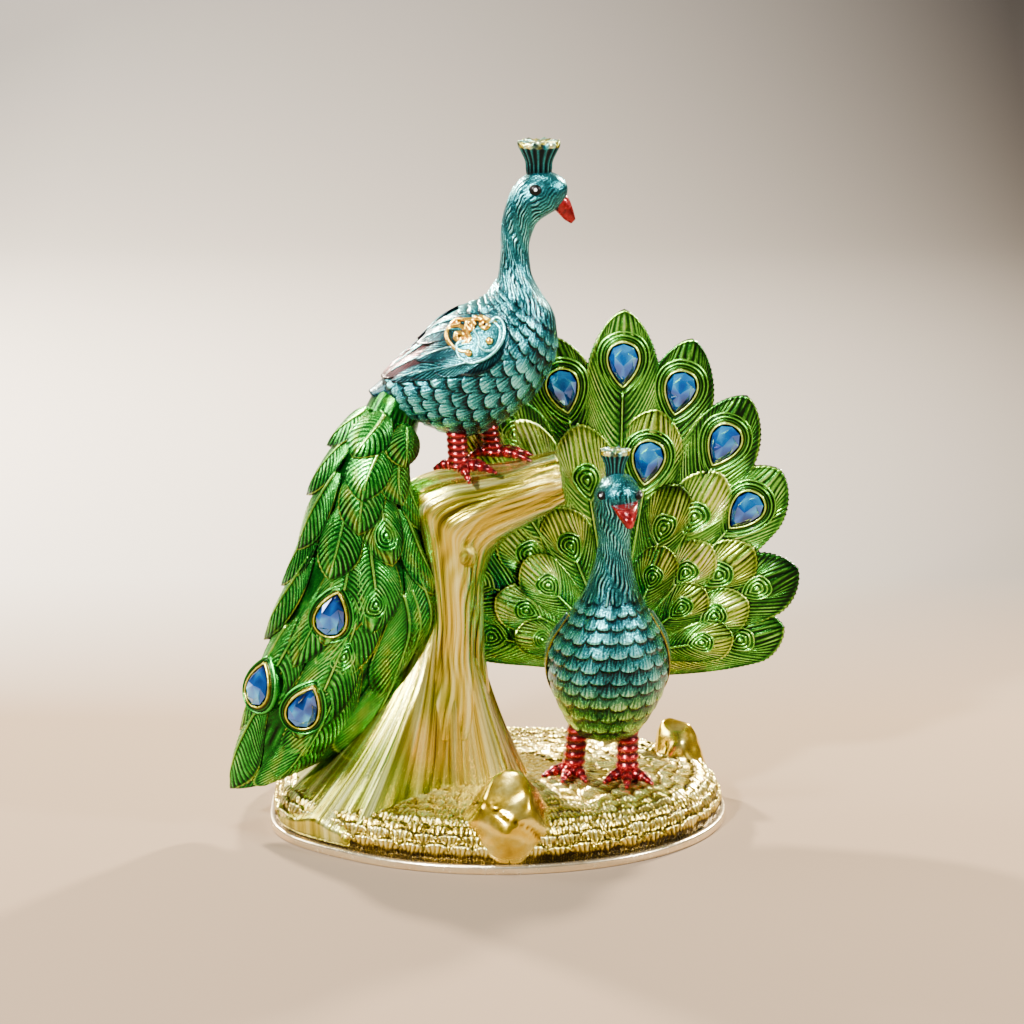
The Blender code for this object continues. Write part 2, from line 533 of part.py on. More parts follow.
def pear(sides, grow=0.0):
    """Outline of a stone, point first, moved outward by a distance."""
    turn = np.linspace(0, 2 * math.pi, sides, endpoint=False)
    wide = np.sin(turn) * np.abs(np.sin(turn / 2)) ** 0.85
    wide *= STONE_WIDTH / 2 / np.abs(wide).max()
    points = np.stack([wide, -STONE_LENGTH / 2 * np.cos(turn)], 1)
    edge = np.roll(points, -1, 0) - points
    normal = np.stack([edge[:, 1], -edge[:, 0]], 1) / np.linalg.norm(edge, axis=1, keepdims=True)
    before = np.roll(normal, 1, 0)
    mitre = (normal + before) / (1.0 + (normal * before).sum(1, keepdims=True))
    return points + grow * mitre


STONE_SIDES = 10


def stacked(frame, rings):
    """Shell in metres from outlines at heights in a frame of centre, across, along and out."""
    centre, across, along, out = frame
    layers = []
    for outline, height in rings:
        layers.append(centre + outline[:, :1] * across + outline[:, 1:] * along + height * out)
    return closed_tube(np.stack(layers))


def bezel(frame):
    """Raised rim round a stone, from inside what carries it up to the pocket's edge."""
    foot = pear(STONE_SIDES, STONE_GAP + BEZEL_WIDTH)
    lip = pear(STONE_SIDES, STONE_GAP + 0.55 * BEZEL_WIDTH)
    return stacked(frame, [(foot, -BEZEL_HEIGHT - 0.5 * FAN_WALL), (foot, -0.3 * BEZEL_HEIGHT), (lip, 0.0)])


def pocket(frame):
    """Cutter for the pocket: the stone's outline plus the gap, open outward."""
    outline = pear(STONE_SIDES, STONE_GAP)
    return stacked(frame, [(outline, -STONE_SEAT - STONE_GAP), (outline, 2.0 * STONE_CROWN)])


def stone(frame):
    """Faceted stone: flat back, girdle at the pocket's edge, crown and table."""
    outline = pear(STONE_SIDES)
    turned = (outline + np.roll(outline, -1, 0)) / 2
    return stacked(frame, [(outline * 0.90, -STONE_SEAT), (outline, -0.35 * STONE_SEAT), (outline, 0.0),
                           (turned * 0.74, 0.58 * STONE_CROWN), (outline * 0.42, STONE_CROWN)])


def frame_on(surface, place, toward, height):
    """Frame of a stone: its centre over a surface, its round end along a heading."""
    place, toward = np.array(place, float), np.array(toward, float)
    step = 0.02
    here = metres(surface(place[0], place[1]))
    first = metres(surface(place[0] + step, place[1])) - here
    second = metres(surface(place[0], place[1] + step)) - here
    outward = metres(surface(place[0], place[1], 1.0)) - here
    out = np.cross(first, second)
    out *= np.sign(out @ outward) / np.linalg.norm(out)
    along = first * toward[0] + second * toward[1]
    along -= out * (along @ out)
    along /= np.linalg.norm(along)
    return here + out * height, np.cross(along, out), along, out


def stone_frames():
    """Names and frames of the nine stones."""
    frames = []
    reaches = {angle: reach for angle, reach, width in FAN_OUTER}
    reaches.update({angle: reach for angle, reach, width, tier in FAN_INNER})
    for order, (angle, tier) in enumerate(FAN_STONES):
        place = fan_place(angle, reaches[angle] - STONE_INSET)
        heading = math.cos(math.radians(angle)), math.sin(math.radians(angle))
        height = BEZEL_HEIGHT + tier * LEAF_STEP
        frames.append((f"fan_stone_{order + 1}", frame_on(fan_point, place, heading, height)))
    surface = body(TRAIN)
    for order, (x, z) in enumerate(TRAIN_STONES):
        place = nearest_place(surface, x, z)
        frames.append((f"tail_stone_{order + 1}", frame_on(surface, place, (1.0, 0.0), BEZEL_HEIGHT + LEAF_STEP)))
    return frames


# Scene objects

def material(name, colour, roughness, metallic):
    """Plain material of one part."""
    made = bpy.data.materials.new(name)
    made.use_nodes = True
    shader = made.node_tree.nodes["Principled BSDF"]
    shader.inputs["Base Color"].default_value = (*colour, 1.0)
    shader.inputs["Roughness"].default_value = roughness
    shader.inputs["Metallic"].default_value = metallic
    return made


def build_object(name, points, faces):
    """Object from a shell in metres, with its faces turned outward."""
    points = np.asarray(points, float)
    volume = 0.0
    for face in faces:
        for k in range(1, len(face) - 1):
            a, b, c = points[face[0]], points[face[k]], points[face[k + 1]]
            volume += a @ np.cross(b, c)
    if volume < 0:
        faces = [tuple(reversed(face)) for face in faces]
    mesh = bpy.data.meshes.new(name)
    mesh.from_pydata([tuple(p) for p in points], [], faces)
    made = bpy.data.objects.new(name, mesh)
    bpy.context.scene.collection.objects.link(made)
    return made


def as_guide(made, group):
    """Keep a shell out of the finished part and in a group that a Boolean reads."""
    made.hide_render = True
    made.display_type = "WIRE"
    bpy.context.scene.collection.objects.unlink(made)
    group.objects.link(made)


def group_of_guides(name, shells):
    """Collection that holds one hidden object for each shell."""
    group = bpy.data.collections.new(name)
    bpy.context.scene.collection.children.link(group)
    for order, (points, faces) in enumerate(shells):
        as_guide(build_object(f"{name}_{order:03d}", points, faces), group)
    return group


def applied(target, kind, **settings):
    """Give an object the mesh that one modifier makes of it."""
    step = target.modifiers.new("step", kind)
    for key, value in settings.items():
        setattr(step, key, value)
    graph = bpy.context.evaluated_depsgraph_get()
    mesh = bpy.data.meshes.new_from_object(target.evaluated_get(graph))
    target.modifiers.clear()
    target.data = mesh


def forward(face, edge):
    """Whether a face goes round along an edge from its first point to its second."""
    order = list(face.verts)
    return order[(order.index(edge.verts[0]) + 1) % len(order)] is edge.verts[1]


def part_shared_diagonals(frame):
    """Where two faces were cut along one same diagonal, give one of them a corner of its own."""
    for edge in [edge for edge in frame.edges if len(edge.link_faces) == 4]:
        first = edge.link_faces[0]
        others = [face for face in edge.link_faces if forward(face, edge) != forward(first, edge)]
        pair = (first, max(others, key=lambda face: face.normal.dot(first.normal)))
        thirds = [next(v for v in face.verts if v not in edge.verts) for face in pair]
        middle = (edge.verts[0].co + edge.verts[1].co) / 2
        corner = frame.verts.new(middle + (thirds[0].co - middle) * 0.1)
        for face in pair:
            order = list(face.verts)
            for end in edge.verts:
                frame.faces.new([corner if vert is end else vert for vert in order])
            frame.faces.remove(face)


def one_body(target):
    """Join points that coincide, cut to triangles and keep only the largest connected body."""
    frame = bmesh.new()
    frame.from_mesh(target.data)
    bmesh.ops.remove_doubles(frame, verts=frame.verts, dist=JOIN_DISTANCE)
    bmesh.ops.triangulate(frame, faces=frame.faces)
    part_shared_diagonals(frame)
    left = set(frame.faces)
    bodies = []
    while left:
        found = {left.pop()}
        edge = list(found)
        while edge:
            near = {other for face in edge for link in face.edges for other in link.link_faces}
            edge = [face for face in near if face in left]
            left.difference_update(edge)
            found.update(edge)
        bodies.append(found)
    bodies.sort(key=len)
    for small in bodies[:-1]:
        bmesh.ops.delete(frame, geom=list(small), context="FACES")
    frame.to_mesh(target.data)
    frame.free()


def main():
    """Clear the scene, model the casting and set the stones."""
    for old in list(bpy.data.objects):
        bpy.data.objects.remove(old, do_unlink=True)
    casting = build_object("casting", *mound())
    shells = []
    for group in (stump(), perched_bird(), standing_bird(), train(), fan()):
        shells += [(metres(points), faces) for points, faces in group]
    frames = stone_frames()
    shells += rocks() + [bezel(frame) for name, frame in frames]

    forms = group_of_guides("cast_form", shells)
    applied(casting, "BOOLEAN", operation="UNION", operand_type="COLLECTION", collection=forms, solver="EXACT")
    one_body(casting)
    applied(casting, "DECIMATE", ratio=min(1.0, CASTING_FACES / len(casting.data.polygons)))
    one_body(casting)
    pockets = group_of_guides("pocket", [pocket(frame) for name, frame in frames])
    applied(casting, "BOOLEAN", operation="DIFFERENCE", operand_type="COLLECTION", collection=pockets, solver="MANIFOLD")
    one_body(casting)
    casting.data.materials.clear()
    casting.data.materials.append(material("enamelled casting", (0.55, 0.52, 0.20), 0.30, 0.8))

    glass = material("blue glass", (0.02, 0.16, 0.60), 0.05, 0.0)
    for name, frame in frames:
        build_object(name, *stone(frame)).data.materials.append(glass)


main()
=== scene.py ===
# Peacock figurine: two peacocks cast in one piece on a grass mound, gilded, enamelled
# in greens, teal and red, and set with nine blue glass stones.
import math

import bpy
import numpy as np
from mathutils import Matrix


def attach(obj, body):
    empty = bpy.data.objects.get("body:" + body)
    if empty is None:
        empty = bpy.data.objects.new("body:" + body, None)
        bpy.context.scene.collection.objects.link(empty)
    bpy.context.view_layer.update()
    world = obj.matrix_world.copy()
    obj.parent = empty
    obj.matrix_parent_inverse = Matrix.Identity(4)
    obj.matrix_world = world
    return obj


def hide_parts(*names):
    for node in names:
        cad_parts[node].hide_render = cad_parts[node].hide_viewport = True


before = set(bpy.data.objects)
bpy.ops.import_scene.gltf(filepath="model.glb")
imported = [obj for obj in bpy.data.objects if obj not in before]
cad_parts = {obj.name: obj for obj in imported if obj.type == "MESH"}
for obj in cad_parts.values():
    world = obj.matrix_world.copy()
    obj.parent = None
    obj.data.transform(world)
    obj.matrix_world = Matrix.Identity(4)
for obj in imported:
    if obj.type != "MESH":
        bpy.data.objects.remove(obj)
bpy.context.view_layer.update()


# Camera. It stands where the photograph was taken from, a little above the birds'
# heads and well back, with a long lens.
camera = bpy.data.objects.new("camera", bpy.data.cameras.new("camera"))
camera.location = (0.00504, -1.5, 0.51649)
camera.rotation_euler = (math.radians(90 - 15.096), 0, 0)
camera.data.sensor_width = 36
camera.data.lens = 154.57
bpy.context.scene.collection.objects.link(camera)
bpy.context.scene.camera = camera


# Studio. One pale sheet swept up behind the table. Small soft lamps stand in front, at the
# right and above, two behind throw long shadows to the front, and one is for the sheet.
SWEEP_WIDTH, SWEEP_FRONT, SWEEP_BACK, SWEEP_RADIUS, SWEEP_TOP = 5.0, -2.2, 1.0, 0.5, 2.6
TABLE_TAN, WALL_CREAM, WALL_SHADE = (0.165, 0.122, 0.083), (0.300, 0.280, 0.258), (0.036, 0.032, 0.029)
AIM_HEIGHT = 0.11          # height that every lamp is aimed at


class Link:
    """Output of a node in a material. Sums, differences and products add Math nodes."""

    def __init__(self, tree, output):
        self.tree, self.output = tree, output

    def node(self, kind, settings=None, inputs=None, output=0):
        """New node of a kind, its settings set first, then the values or links of its inputs."""
        made = self.tree.nodes.new(kind)
        for key, value in (settings or {}).items():
            if key == "stops":
                steps = made.color_ramp.elements
                while len(steps) < len(value):
                    steps.new(0.5)
                for step, (place, colour) in zip(steps, value):
                    step.position, step.color = place, (*colour, 1.0)
            else:
                setattr(made, key, value)
        for key, value in (inputs or {}).items():
            if isinstance(value, Link):
                self.tree.links.new(value.output, made.inputs[key])
            else:
                made.inputs[key].default_value = value
        return Link(self.tree, made.outputs[output])

    def math(self, operation, first, second=0.0):
        return self.node("ShaderNodeMath", {"operation": operation}, {0: first, 1: second})

    def __add__(self, other):
        return self.math("ADD", self, other)

    def __radd__(self, other):
        return self.math("ADD", other, self)

    def __sub__(self, other):
        return self.math("SUBTRACT", self, other)

    def __rsub__(self, other):
        return self.math("SUBTRACT", other, self)

    def __mul__(self, other):
        return self.math("MULTIPLY", self, other)

    def __rmul__(self, other):
        return self.math("MULTIPLY", other, self)

    def kept(self):
        """The value held between 0 and 1."""
        return self.node("ShaderNodeClamp", {}, {0: self})

    def ramp(self, *stops):
        """Colour read from stops of place and colour."""
        return self.node("ShaderNodeValToRGB", {"stops": stops}, {"Fac": self})

    def mixed(self, first, second):
        """Colour that goes from the first to the second as this value goes from 0 to 1."""
        first, second = ((*c, 1.0) if isinstance(c, tuple) else c for c in (first, second))
        return self.node("ShaderNodeMix", {"data_type": "RGBA"}, {"Factor": self, 6: first, 7: second}, 2)

    def noise(self, scale, detail=2.0, distortion=0.0):
        """Noise with so many features to the metre, in the object's own coordinates."""
        place = self.node("ShaderNodeTexCoord", output=3)
        return self.node("ShaderNodeTexNoise", {}, {"Vector": place, "Scale": scale, "Detail": detail,
                                                    "Distortion": distortion})

    def carried(self, name):
        """A value that the mesh carries at each of its points."""
        return self.node("ShaderNodeAttribute", {"attribute_name": name}, output=2)

    def bumped(self, height, depth):
        """Normal tilted by a height of so many metres."""
        return self.node("ShaderNodeBump", {}, {"Height": height, "Distance": depth, "Strength": 1.0})


def new_finish(name, **plain):
    """Material with the plain values of its shader set, that shader, and a start for its links."""
    made = bpy.data.materials.new(name)
    made.use_nodes = True
    shader = made.node_tree.nodes["Principled BSDF"]
    for key, value in plain.items():
        key = key.replace("_", " ").title().replace("Ior", "IOR")
        shader.inputs[key].default_value = value
    return made, shader, Link(made.node_tree, None)


def wired(start, shader, **sockets):
    """Links into a shader's varying sockets."""
    for key, link in sockets.items():
        start.tree.links.new(link.output, shader.inputs[key.replace("_", " ").title()])


turned_up = np.linspace(0, math.pi / 2, 24)
profile_y = SWEEP_BACK + SWEEP_RADIUS * np.sin(turned_up)
profile_y = np.concatenate([[SWEEP_FRONT], profile_y, [SWEEP_BACK + SWEEP_RADIUS]])
profile_z = np.concatenate([[0.0], SWEEP_RADIUS * (1 - np.cos(turned_up)), [SWEEP_TOP]])
sweep_mesh = bpy.data.meshes.new("sweep")
sweep_points = [(side * SWEEP_WIDTH / 2, y, z) for y, z in zip(profile_y, profile_z) for side in (-1, 1)]
sweep_faces = [(2 * i, 2 * i + 1, 2 * i + 3, 2 * i + 2) for i in range(len(profile_y) - 1)]
sweep_mesh.from_pydata(sweep_points, [], sweep_faces)
sweep_mesh.polygons.foreach_set("use_smooth", [True] * len(sweep_faces))
sweep = bpy.data.objects.new("sweep", sweep_mesh)
bpy.context.scene.collection.objects.link(sweep)
paper, shader, start = new_finish("studio paper", roughness=0.80, specular_ior_level=0.0)
place = start.node("ShaderNodeTexCoord", output=3)
right, back = (start.node("ShaderNodeSeparateXYZ", {}, {0: place}, axis) for axis in (0, 1))
# The wall is painted lighter at the left and fades to painted shade towards the right
behind = (back * 5.0 - 0.55).kept()
beside = (right * 1.7 + 0.45).kept()
wired(start, shader, base_color=behind.mixed(TABLE_TAN, beside.mixed(WALL_CREAM, WALL_SHADE)))
sweep_mesh.materials.append(paper)

for name, place, size, watts, colour in (
    ("front lamp", (-0.66, -1.10, 0.90), 0.14, 88.0, (1.0, 0.98, 0.95)),
    ("side lamp", (1.10, -0.45, 0.70), 0.16, 30.0, (1.0, 0.98, 0.96)),
    ("top lamp", (-0.10, -0.10, 1.20), 0.20, 13.0, (1.0, 0.98, 0.95)),
    ("left back lamp", (-0.56, 0.70, 0.60), 0.09, 84.0, (1.0, 0.87, 0.70)),
    ("right back lamp", (0.60, 0.72, 0.62), 0.09, 88.0, (1.0, 0.88, 0.70)),
    ("wall lamp", (-1.30, 0.25, 0.85), 0.50, 24.0, (1.0, 0.96, 0.91)),
):
    lamp = bpy.data.objects.new(name, bpy.data.lights.new(name, "AREA"))
    lamp.data.shape = "DISK"
    lamp.data.size, lamp.data.energy, lamp.data.color = size, watts, colour
    lamp.location = place
    aim = np.subtract(place, (0.0, 0.0, AIM_HEIGHT))
    tilt = math.acos(aim[2] / np.linalg.norm(aim))
    lamp.rotation_euler = (tilt, 0, math.atan2(aim[1], aim[0]) + math.pi / 2)
    bpy.context.scene.collection.objects.link(lamp)
world = bpy.data.worlds.new("studio air")
world.use_nodes = True
world.node_tree.nodes["Background"].inputs["Color"].default_value = (1.0, 0.96, 0.92, 1.0)
world.node_tree.nodes["Background"].inputs["Strength"].default_value = 0.09
bpy.context.scene.world = world


# Grass mound. A cast oval foot with a plain burnished rim, and on it rows of short
# tufts that overlap like shingles. It is gilded, with an olive wash and painted shade in its
# recesses, and painted highlights on the tufts' lips.
MOUND_WIDTH, MOUND_DEPTH, MOUND_HEIGHT = 0.1635, 0.1340, 0.0170
RIM_HEIGHT, RIM_STEP = 0.0032, 0.0012
# Share of the way in from the edge, and share of the height there
MOUND_PROFILE = ((0.0, 0.12), (0.012, 0.30), (0.030, 0.58), (0.062, 0.80), (0.115, 0.92), (0.23, 0.98),
                 (0.50, 1.0))
TUFT_ROWS, TUFTS_AROUND, TUFT_BLADES, TUFT_POINT, TUFT_CONTRAST = 11, 48, 4, 0.52, 1.4
TUFT_RISE, BLADE_RISE = 0.0009, 0.00075
# Share of the way in where each row of tufts starts
TUFT_INSETS = (0.001, 0.012, 0.030, 0.058, 0.098, 0.15, 0.215, 0.29, 0.375, 0.465, 0.56, 0.66, 0.74)
TURF_START = 0.56          # the turf starts under the last rows of tufts


def eased(share):
    """0 below 0, 1 above 1, and between them three squares less two cubes of the share."""
    share = np.clip(share, 0.0, 1.0)
    return share * share * (3.0 - 2.0 * share)


def shell(grid, ends=None, **values):
    """Closed shell in metres: rings of points joined one to the next, with a pole at both ends.

    The poles are the middles of the first and last rings unless they are given. Each
    value is carried by the points, and by a pole as the mean of its ring.
    """
    rows, columns = grid.shape[:2]
    index = np.arange(rows * columns).reshape(rows, columns)
    beside = np.roll(index, -1, 1)
    quads = np.stack([index[:-1], beside[:-1], beside[1:], index[1:]], -1).reshape(-1, 4)
    poles = np.full((2, columns), rows * columns) + [[0], [1]]
    foot = np.stack([poles[0], beside[0], index[0]], -1)
    fans = np.concatenate([foot, np.stack([poles[1], index[-1], beside[-1]], -1)])
    ends = (grid[0].mean(0), grid[-1].mean(0)) if ends is None else ends
    points = np.concatenate([grid.reshape(-1, 3), np.array(ends, float)])
    a, b, c, d = (points[quads[:, k]] for k in range(4))
    e, f, g = (points[fans[:, k]] for k in range(3))
    volume = (np.cross(a, b) * c).sum() + (np.cross(a, c) * d).sum() + (np.cross(e, f) * g).sum()
    if volume < 0:
        quads, fans = quads[:, ::-1], fans[:, ::-1]
    carried = {}
    for key, value in values.items():
        value = np.broadcast_to(value, (rows, columns))
        carried[key] = np.concatenate([value.ravel(), [value[0].mean(), value[-1].mean()]])
    return points, quads, fans, carried


def piece(name, shells, finish, smooth=True, node="casting"):
    """One object of the casting from closed shells, with the values they carry as attributes."""
    shift = np.cumsum([0] + [len(points) for points, *rest in shells])
    quads = np.concatenate([quads + s for (p, quads, fans, v), s in zip(shells, shift)])
    fans = np.concatenate([fans + s for (p, quads, fans, v), s in zip(shells, shift)])
    mesh = bpy.data.meshes.new(name)
    mesh.vertices.add(shift[-1])
    points = np.concatenate([points for points, *rest in shells])
    mesh.vertices.foreach_set("co", points.astype(np.float32).ravel())
    corners = np.concatenate([quads.ravel(), fans.ravel()])
    mesh.loops.add(len(corners))
    mesh.loops.foreach_set("vertex_index", corners.astype(np.int32))
    mesh.polygons.add(len(quads) + len(fans))
    starts = np.concatenate([4 * np.arange(len(quads)), 4 * len(quads) + 3 * np.arange(len(fans))])
    mesh.polygons.foreach_set("loop_start", starts.astype(np.int32))
    mesh.update(calc_edges=True)
    mesh.polygons.foreach_set("use_smooth", np.full(len(starts), smooth))
    for key in shells[0][3]:
        layer = mesh.attributes.new(key, "FLOAT", "POINT")
        layer.data.foreach_set("value", np.concatenate([v[key] for p, q, f, v in shells]).astype(np.float32))
    mesh.materials.append(finish)
    made = bpy.data.objects.new(name, mesh)
    bpy.context.scene.collection.objects.link(made)
    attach(made, "root")
    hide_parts(node)
    return made


def shingled(rows, around, per_row, per_scale, blades, point, lip, groove, contrast=1.0):
    """Grid of overlapping scales, as place along, turn share, lift and relief with painted light in it.

    The edge of row k is k less point times a half circle over each scale, and odd rows
    are set over by half a scale. Between one edge and the next the lift falls from the
    lip to nothing, and blades of a cosine's form spread from each scale's root.
    """
    turn = np.arange(around * per_scale) / (around * per_scale)
    share = np.concatenate([[0.0, 0.05], np.linspace(0.18, 1.0, per_row - 2)])[:, None]
    alongs, lifts, reliefs = [], [], []

    def chance(row, turn):
        """A share from 0 to 1 that is the same all over one scale: the fraction of a large sine."""
        scale = np.mod(np.floor(around * turn + 0.5 * (row % 2)), around)
        return np.mod(43758.5 * np.sin(12.9898 * row + 78.233 * scale + 1.0), 1.0)

    def arc(row):
        across = 2.0 * np.mod(around * turn + 0.5 * (row % 2), 1.0) - 1.0
        round_edge = np.sqrt(np.clip(1.0 - across ** 2, 0.0, 1.0)) ** 0.8
        return across, round_edge * (0.72 + 0.56 * chance(row, turn))

    for row in range(rows):
        across, round_edge = arc(row)
        next_edge = arc(row + 1)[1]
        own, following = row - point * round_edge, row + 1 - point * next_edge
        alongs.append(own + (following - own) * share)
        spread = across / (0.42 + 0.58 * (1.0 - share) ** 0.8)
        luck = chance(row + 0.37, turn)
        blade = np.cos(math.pi * blades * spread * (0.85 + 0.3 * luck) + 6.0 * luck)
        blade = blade * np.minimum(1.0, 6.0 * share + 0.3)
        blade = blade * (0.75 + 0.25 * np.sin(9.0 * across + 5.0 * share + 6.0 * luck))
        dome = (0.55 + 0.45 * round_edge) * (0.7 + 0.5 * luck)
        high = lip * dome * (1.0 - share) ** 0.9 * np.where(share == 0.0, 0.45, 1.0)
        lifts.append(high + groove * blade * (1.0 - 0.5 * share))
        # Painted light in the relief: shadow under the next lip, shade at edges and between scales, lip
        # highlight
        shadow = eased((share - 0.55) / 0.45)
        painted_lip_highlight = np.exp(-((share - 0.1) / 0.12) ** 2)
        marks = 0.58 + 0.30 * contrast * blade - 0.55 * shadow - 0.5 * (share == 0.0) + 0.22 * painted_lip_highlight
        reliefs.append(np.clip(marks - 0.2 * (1 - round_edge) + 0.24 * (luck - 0.5), 0, 1))
    along = np.concatenate(alongs)
    return along, turn + 0 * along, np.concatenate(lifts), np.concatenate(reliefs)


def mound_radius(turn):
    """Distance to the edge of an oval whose power grows from 2 to 2.75 at its front left."""
    power = 2.0 + 0.75 * eased((0.15 - np.cos(turn + 0.30 * math.pi)) / 0.9)
    across = np.abs(np.cos(turn) / (MOUND_WIDTH / 2)) ** power
    deep = np.abs(np.sin(turn) / (MOUND_DEPTH / 2)) ** power
    return (across + deep) ** (-1.0 / power)


def mound_point(inset, turn, lift=0.0):
    """Point of the grass a share of the way in, lifted along the normal of its profile."""
    ins, highs = np.array(MOUND_PROFILE).T
    edge = mound_radius(turn)
    share = np.interp(inset, ins, highs)
    slope = (np.interp(inset + 0.012, ins, highs) - np.interp(inset - 0.012, ins, highs)) / 0.024
    rise = slope * (MOUND_HEIGHT - RIM_HEIGHT) / edge
    out, up = rise / np.hypot(rise, 1.0), 1.0 / np.hypot(rise, 1.0)
    radius = edge * (1.0 - inset) - RIM_STEP + lift * out
    y = radius * np.sin(turn)
    height = (MOUND_HEIGHT - RIM_HEIGHT) * share * (1.0 - 0.28 * eased(2 * y / MOUND_DEPTH))
    return np.stack([radius * np.cos(turn), y, RIM_HEIGHT + height + lift * up], -1)


def gilding(name, colours, grain, roughness, pitted):
    """Gilt metal, dark in the grooves from a wash and from painted shade, and brighter on the ridges
    where it was rubbed and where a highlight is painted.

    The four colours go from the wash and painted shade to the brightest gold and painted highlight.
    """
    made, shader, start = new_finish(name, metallic=0.94, coat_weight=0.10, coat_roughness=0.06)
    relief = start.carried("relief")
    specks = start.noise(grain, 3.0)
    cloud = start.noise(55.0, 3.0)
    # Part wash and wear, part painted shade in the grooves and painted highlight on the ridges
    wear_and_painted_light = (relief * 1.15 + specks * 0.40 - 0.25 + cloud * 0.60 - 0.30).kept()
    wired(start, shader, base_color=wear_and_painted_light.ramp(*zip((0.0, 0.34, 0.66, 0.95), colours)),
          roughness=roughness + 0.20 * specks - 0.06 * relief, normal=start.bumped(specks, pitted))
    return made


grass_colours = (0.015, 0.010, 0.0005), (0.17, 0.115, 0.004), (0.62, 0.46, 0.04), (1.0, 0.92, 0.36)
grass_gilt = gilding("grass gilding", grass_colours, 1500.0, 0.16, 0.00009)
rim_colours = (0.50, 0.34, 0.14), (0.74, 0.54, 0.28), (0.88, 0.70, 0.42), (0.96, 0.84, 0.58)
rim_gilt = gilding("rim gilding", rim_colours, 600.0, 0.18, 0.00003)
turf_colours = (0.05, 0.03, 0.001), (0.30, 0.20, 0.008), (0.70, 0.52, 0.05), (1.0, 0.92, 0.40)
turf_gilt = gilding("turf gilding", turf_colours, 1800.0, 0.18, 0.00014)

turn = np.linspace(0, 2 * math.pi, 180, endpoint=False)
around = np.stack([np.cos(turn), np.sin(turn), 0 * turn], 1)
edge = mound_radius(turn)
# Millimetres in from the edge, and millimetres up
rim_section = [(1.4, 0.0), (0.5, 0.0), (0.1, 0.35), (0.0, 0.9), (0.0, 2.2), (0.12, 2.8), (0.5, 3.15),
               (1.3, 3.2), (3.0, 3.0)]
rim = np.stack([around * (edge - inset / 1000)[:, None] + (0, 0, height / 1000)
                for inset, height in rim_section])
piece("base_rim", [shell(rim, ends=((0, 0, 0), (0, 0, 0.003)), relief=0.7)], rim_gilt)

row, share, lift, relief = shingled(TUFT_ROWS, TUFTS_AROUND, 5, 20, TUFT_BLADES, TUFT_POINT, TUFT_RISE,
                                    BLADE_RISE, TUFT_CONTRAST)
# The tufts' edges point up the mound, and their rows drift in and out by a sum of sines
inset = np.interp(TUFT_ROWS - row, np.arange(len(TUFT_INSETS)), TUFT_INSETS)
around = 2 * math.pi * share
drift = np.sin(7 * around + 14 * inset) + np.sin(12 * around + 2) + np.sin(19 * around - 9 * inset)
inset = inset + 0.020 * eased((inset - 0.06) / 0.25) * drift
grass = mound_point(inset, around, lift - 0.0001)
skirt = mound_point(0.02, 2 * math.pi * share[:1], 0.0) * (1, 1, 0) + (0, 0, 0.0015)
middle = mound_point(0.8, 2 * math.pi * share[:1], -0.001)
grass = np.concatenate([middle, grass, skirt])
grass_relief = np.concatenate([0.5 + 0 * relief[:1], relief, 0.2 + 0 * relief[:1]])
piece("grass_tufts", [shell(grass, relief=grass_relief)], grass_gilt)

turf_turn = np.linspace(0, 2 * math.pi, 240, endpoint=False)[None, :]
turf_inset = np.linspace(TURF_START, 1.0, 40)[:-1, None]
turf = mound_point(turf_inset, turf_turn)
x, y = turf[..., 0] * 1000, turf[..., 1] * 1000
grain = np.sin(2.9 * x + 1.3 * np.sin(1.7 * y)) * np.sin(3.1 * y + 1.5 * np.sin(1.3 * x))
grain = grain + 0.5 * np.sin(5.3 * x + 2 * y) * np.sin(4.7 * y - x)
turf[..., 2] += 0.00028 * grain - 0.0015 * (turf_inset < TURF_START + 0.01)
turf = np.concatenate([turf[:1] * (1, 1, 0) + (0, 0, 0.006), turf])
grain = np.concatenate([grain[:1], grain])
piece("turf", [shell(turf, relief=np.clip(0.55 + 0.35 * grain, 0, 1))], turf_gilt)


# Boulders. Two lumps of rock with broken faces and a crack down each, cast with the
# mound and burnished brighter than the grass.
ROUNDING = 15              # the higher, the sharper the edges between a boulder's faces
rock_colours = (0.05, 0.025, 0.0005), (0.34, 0.20, 0.004), (0.78, 0.52, 0.025), (1.0, 0.84, 0.20)
rock_gilt = gilding("rock gilding", rock_colours, 400.0, 0.12, 0.00004)


def facing(heading, rise):
    """Unit way at a heading and a rise in degrees."""
    heading, rise = math.radians(heading), math.radians(rise)
    return math.cos(heading) * math.cos(rise), math.sin(heading) * math.cos(rise), math.sin(rise)


def boulder(name, centre, size, planes, crack):
    """Rock whose radius along a way is the power mean of its distances to cutting planes.

    Each plane is a heading, a rise and a distance. The crack is a groove where the rock
    crosses a plane of a heading, a rise and an offset, between two heights.
    """
    turn = np.linspace(0, 2 * math.pi, 96, endpoint=False)[None, :]
    tilt = np.linspace(-math.pi / 2, math.pi / 2, 46)[1:-1, None]
    way = np.stack([np.cos(turn) * np.cos(tilt), np.sin(turn) * np.cos(tilt), np.sin(tilt) + 0 * turn], -1)
    near = np.zeros(way.shape[:2])
    for heading, rise, distance in planes:
        near += np.clip(way @ facing(heading, rise) / distance, 0, None) ** ROUNDING
    rough = 0.022 * np.sin(5 * way[..., 0] + 2 * np.sin(4 * way[..., 2]))
    rough = rough * np.sin(6 * way[..., 2] + 3 * way[..., 1])
    heading, rise, offset, low, high = crack
    miss = way @ facing(heading, rise) - offset - 0.03 * np.sin(14 * way[..., 2])
    cut = np.exp(-(miss / 0.028) ** 2) * (way[..., 1] < 0.2)
    cut = cut * eased((way[..., 2] - low) / 0.12) * eased((high - way[..., 2]) / 0.12)
    radius = near ** (-1.0 / ROUNDING) * (1 - 0.06 * cut) + rough
    points = np.array(centre) + way * radius[..., None] * np.array(size) / 2
    points[..., 2] = np.maximum(points[..., 2], 0.0012)
    piece(name, [shell(points, relief=np.clip(0.62 + 7 * rough - 0.6 * cut, 0, 1))], rock_gilt)


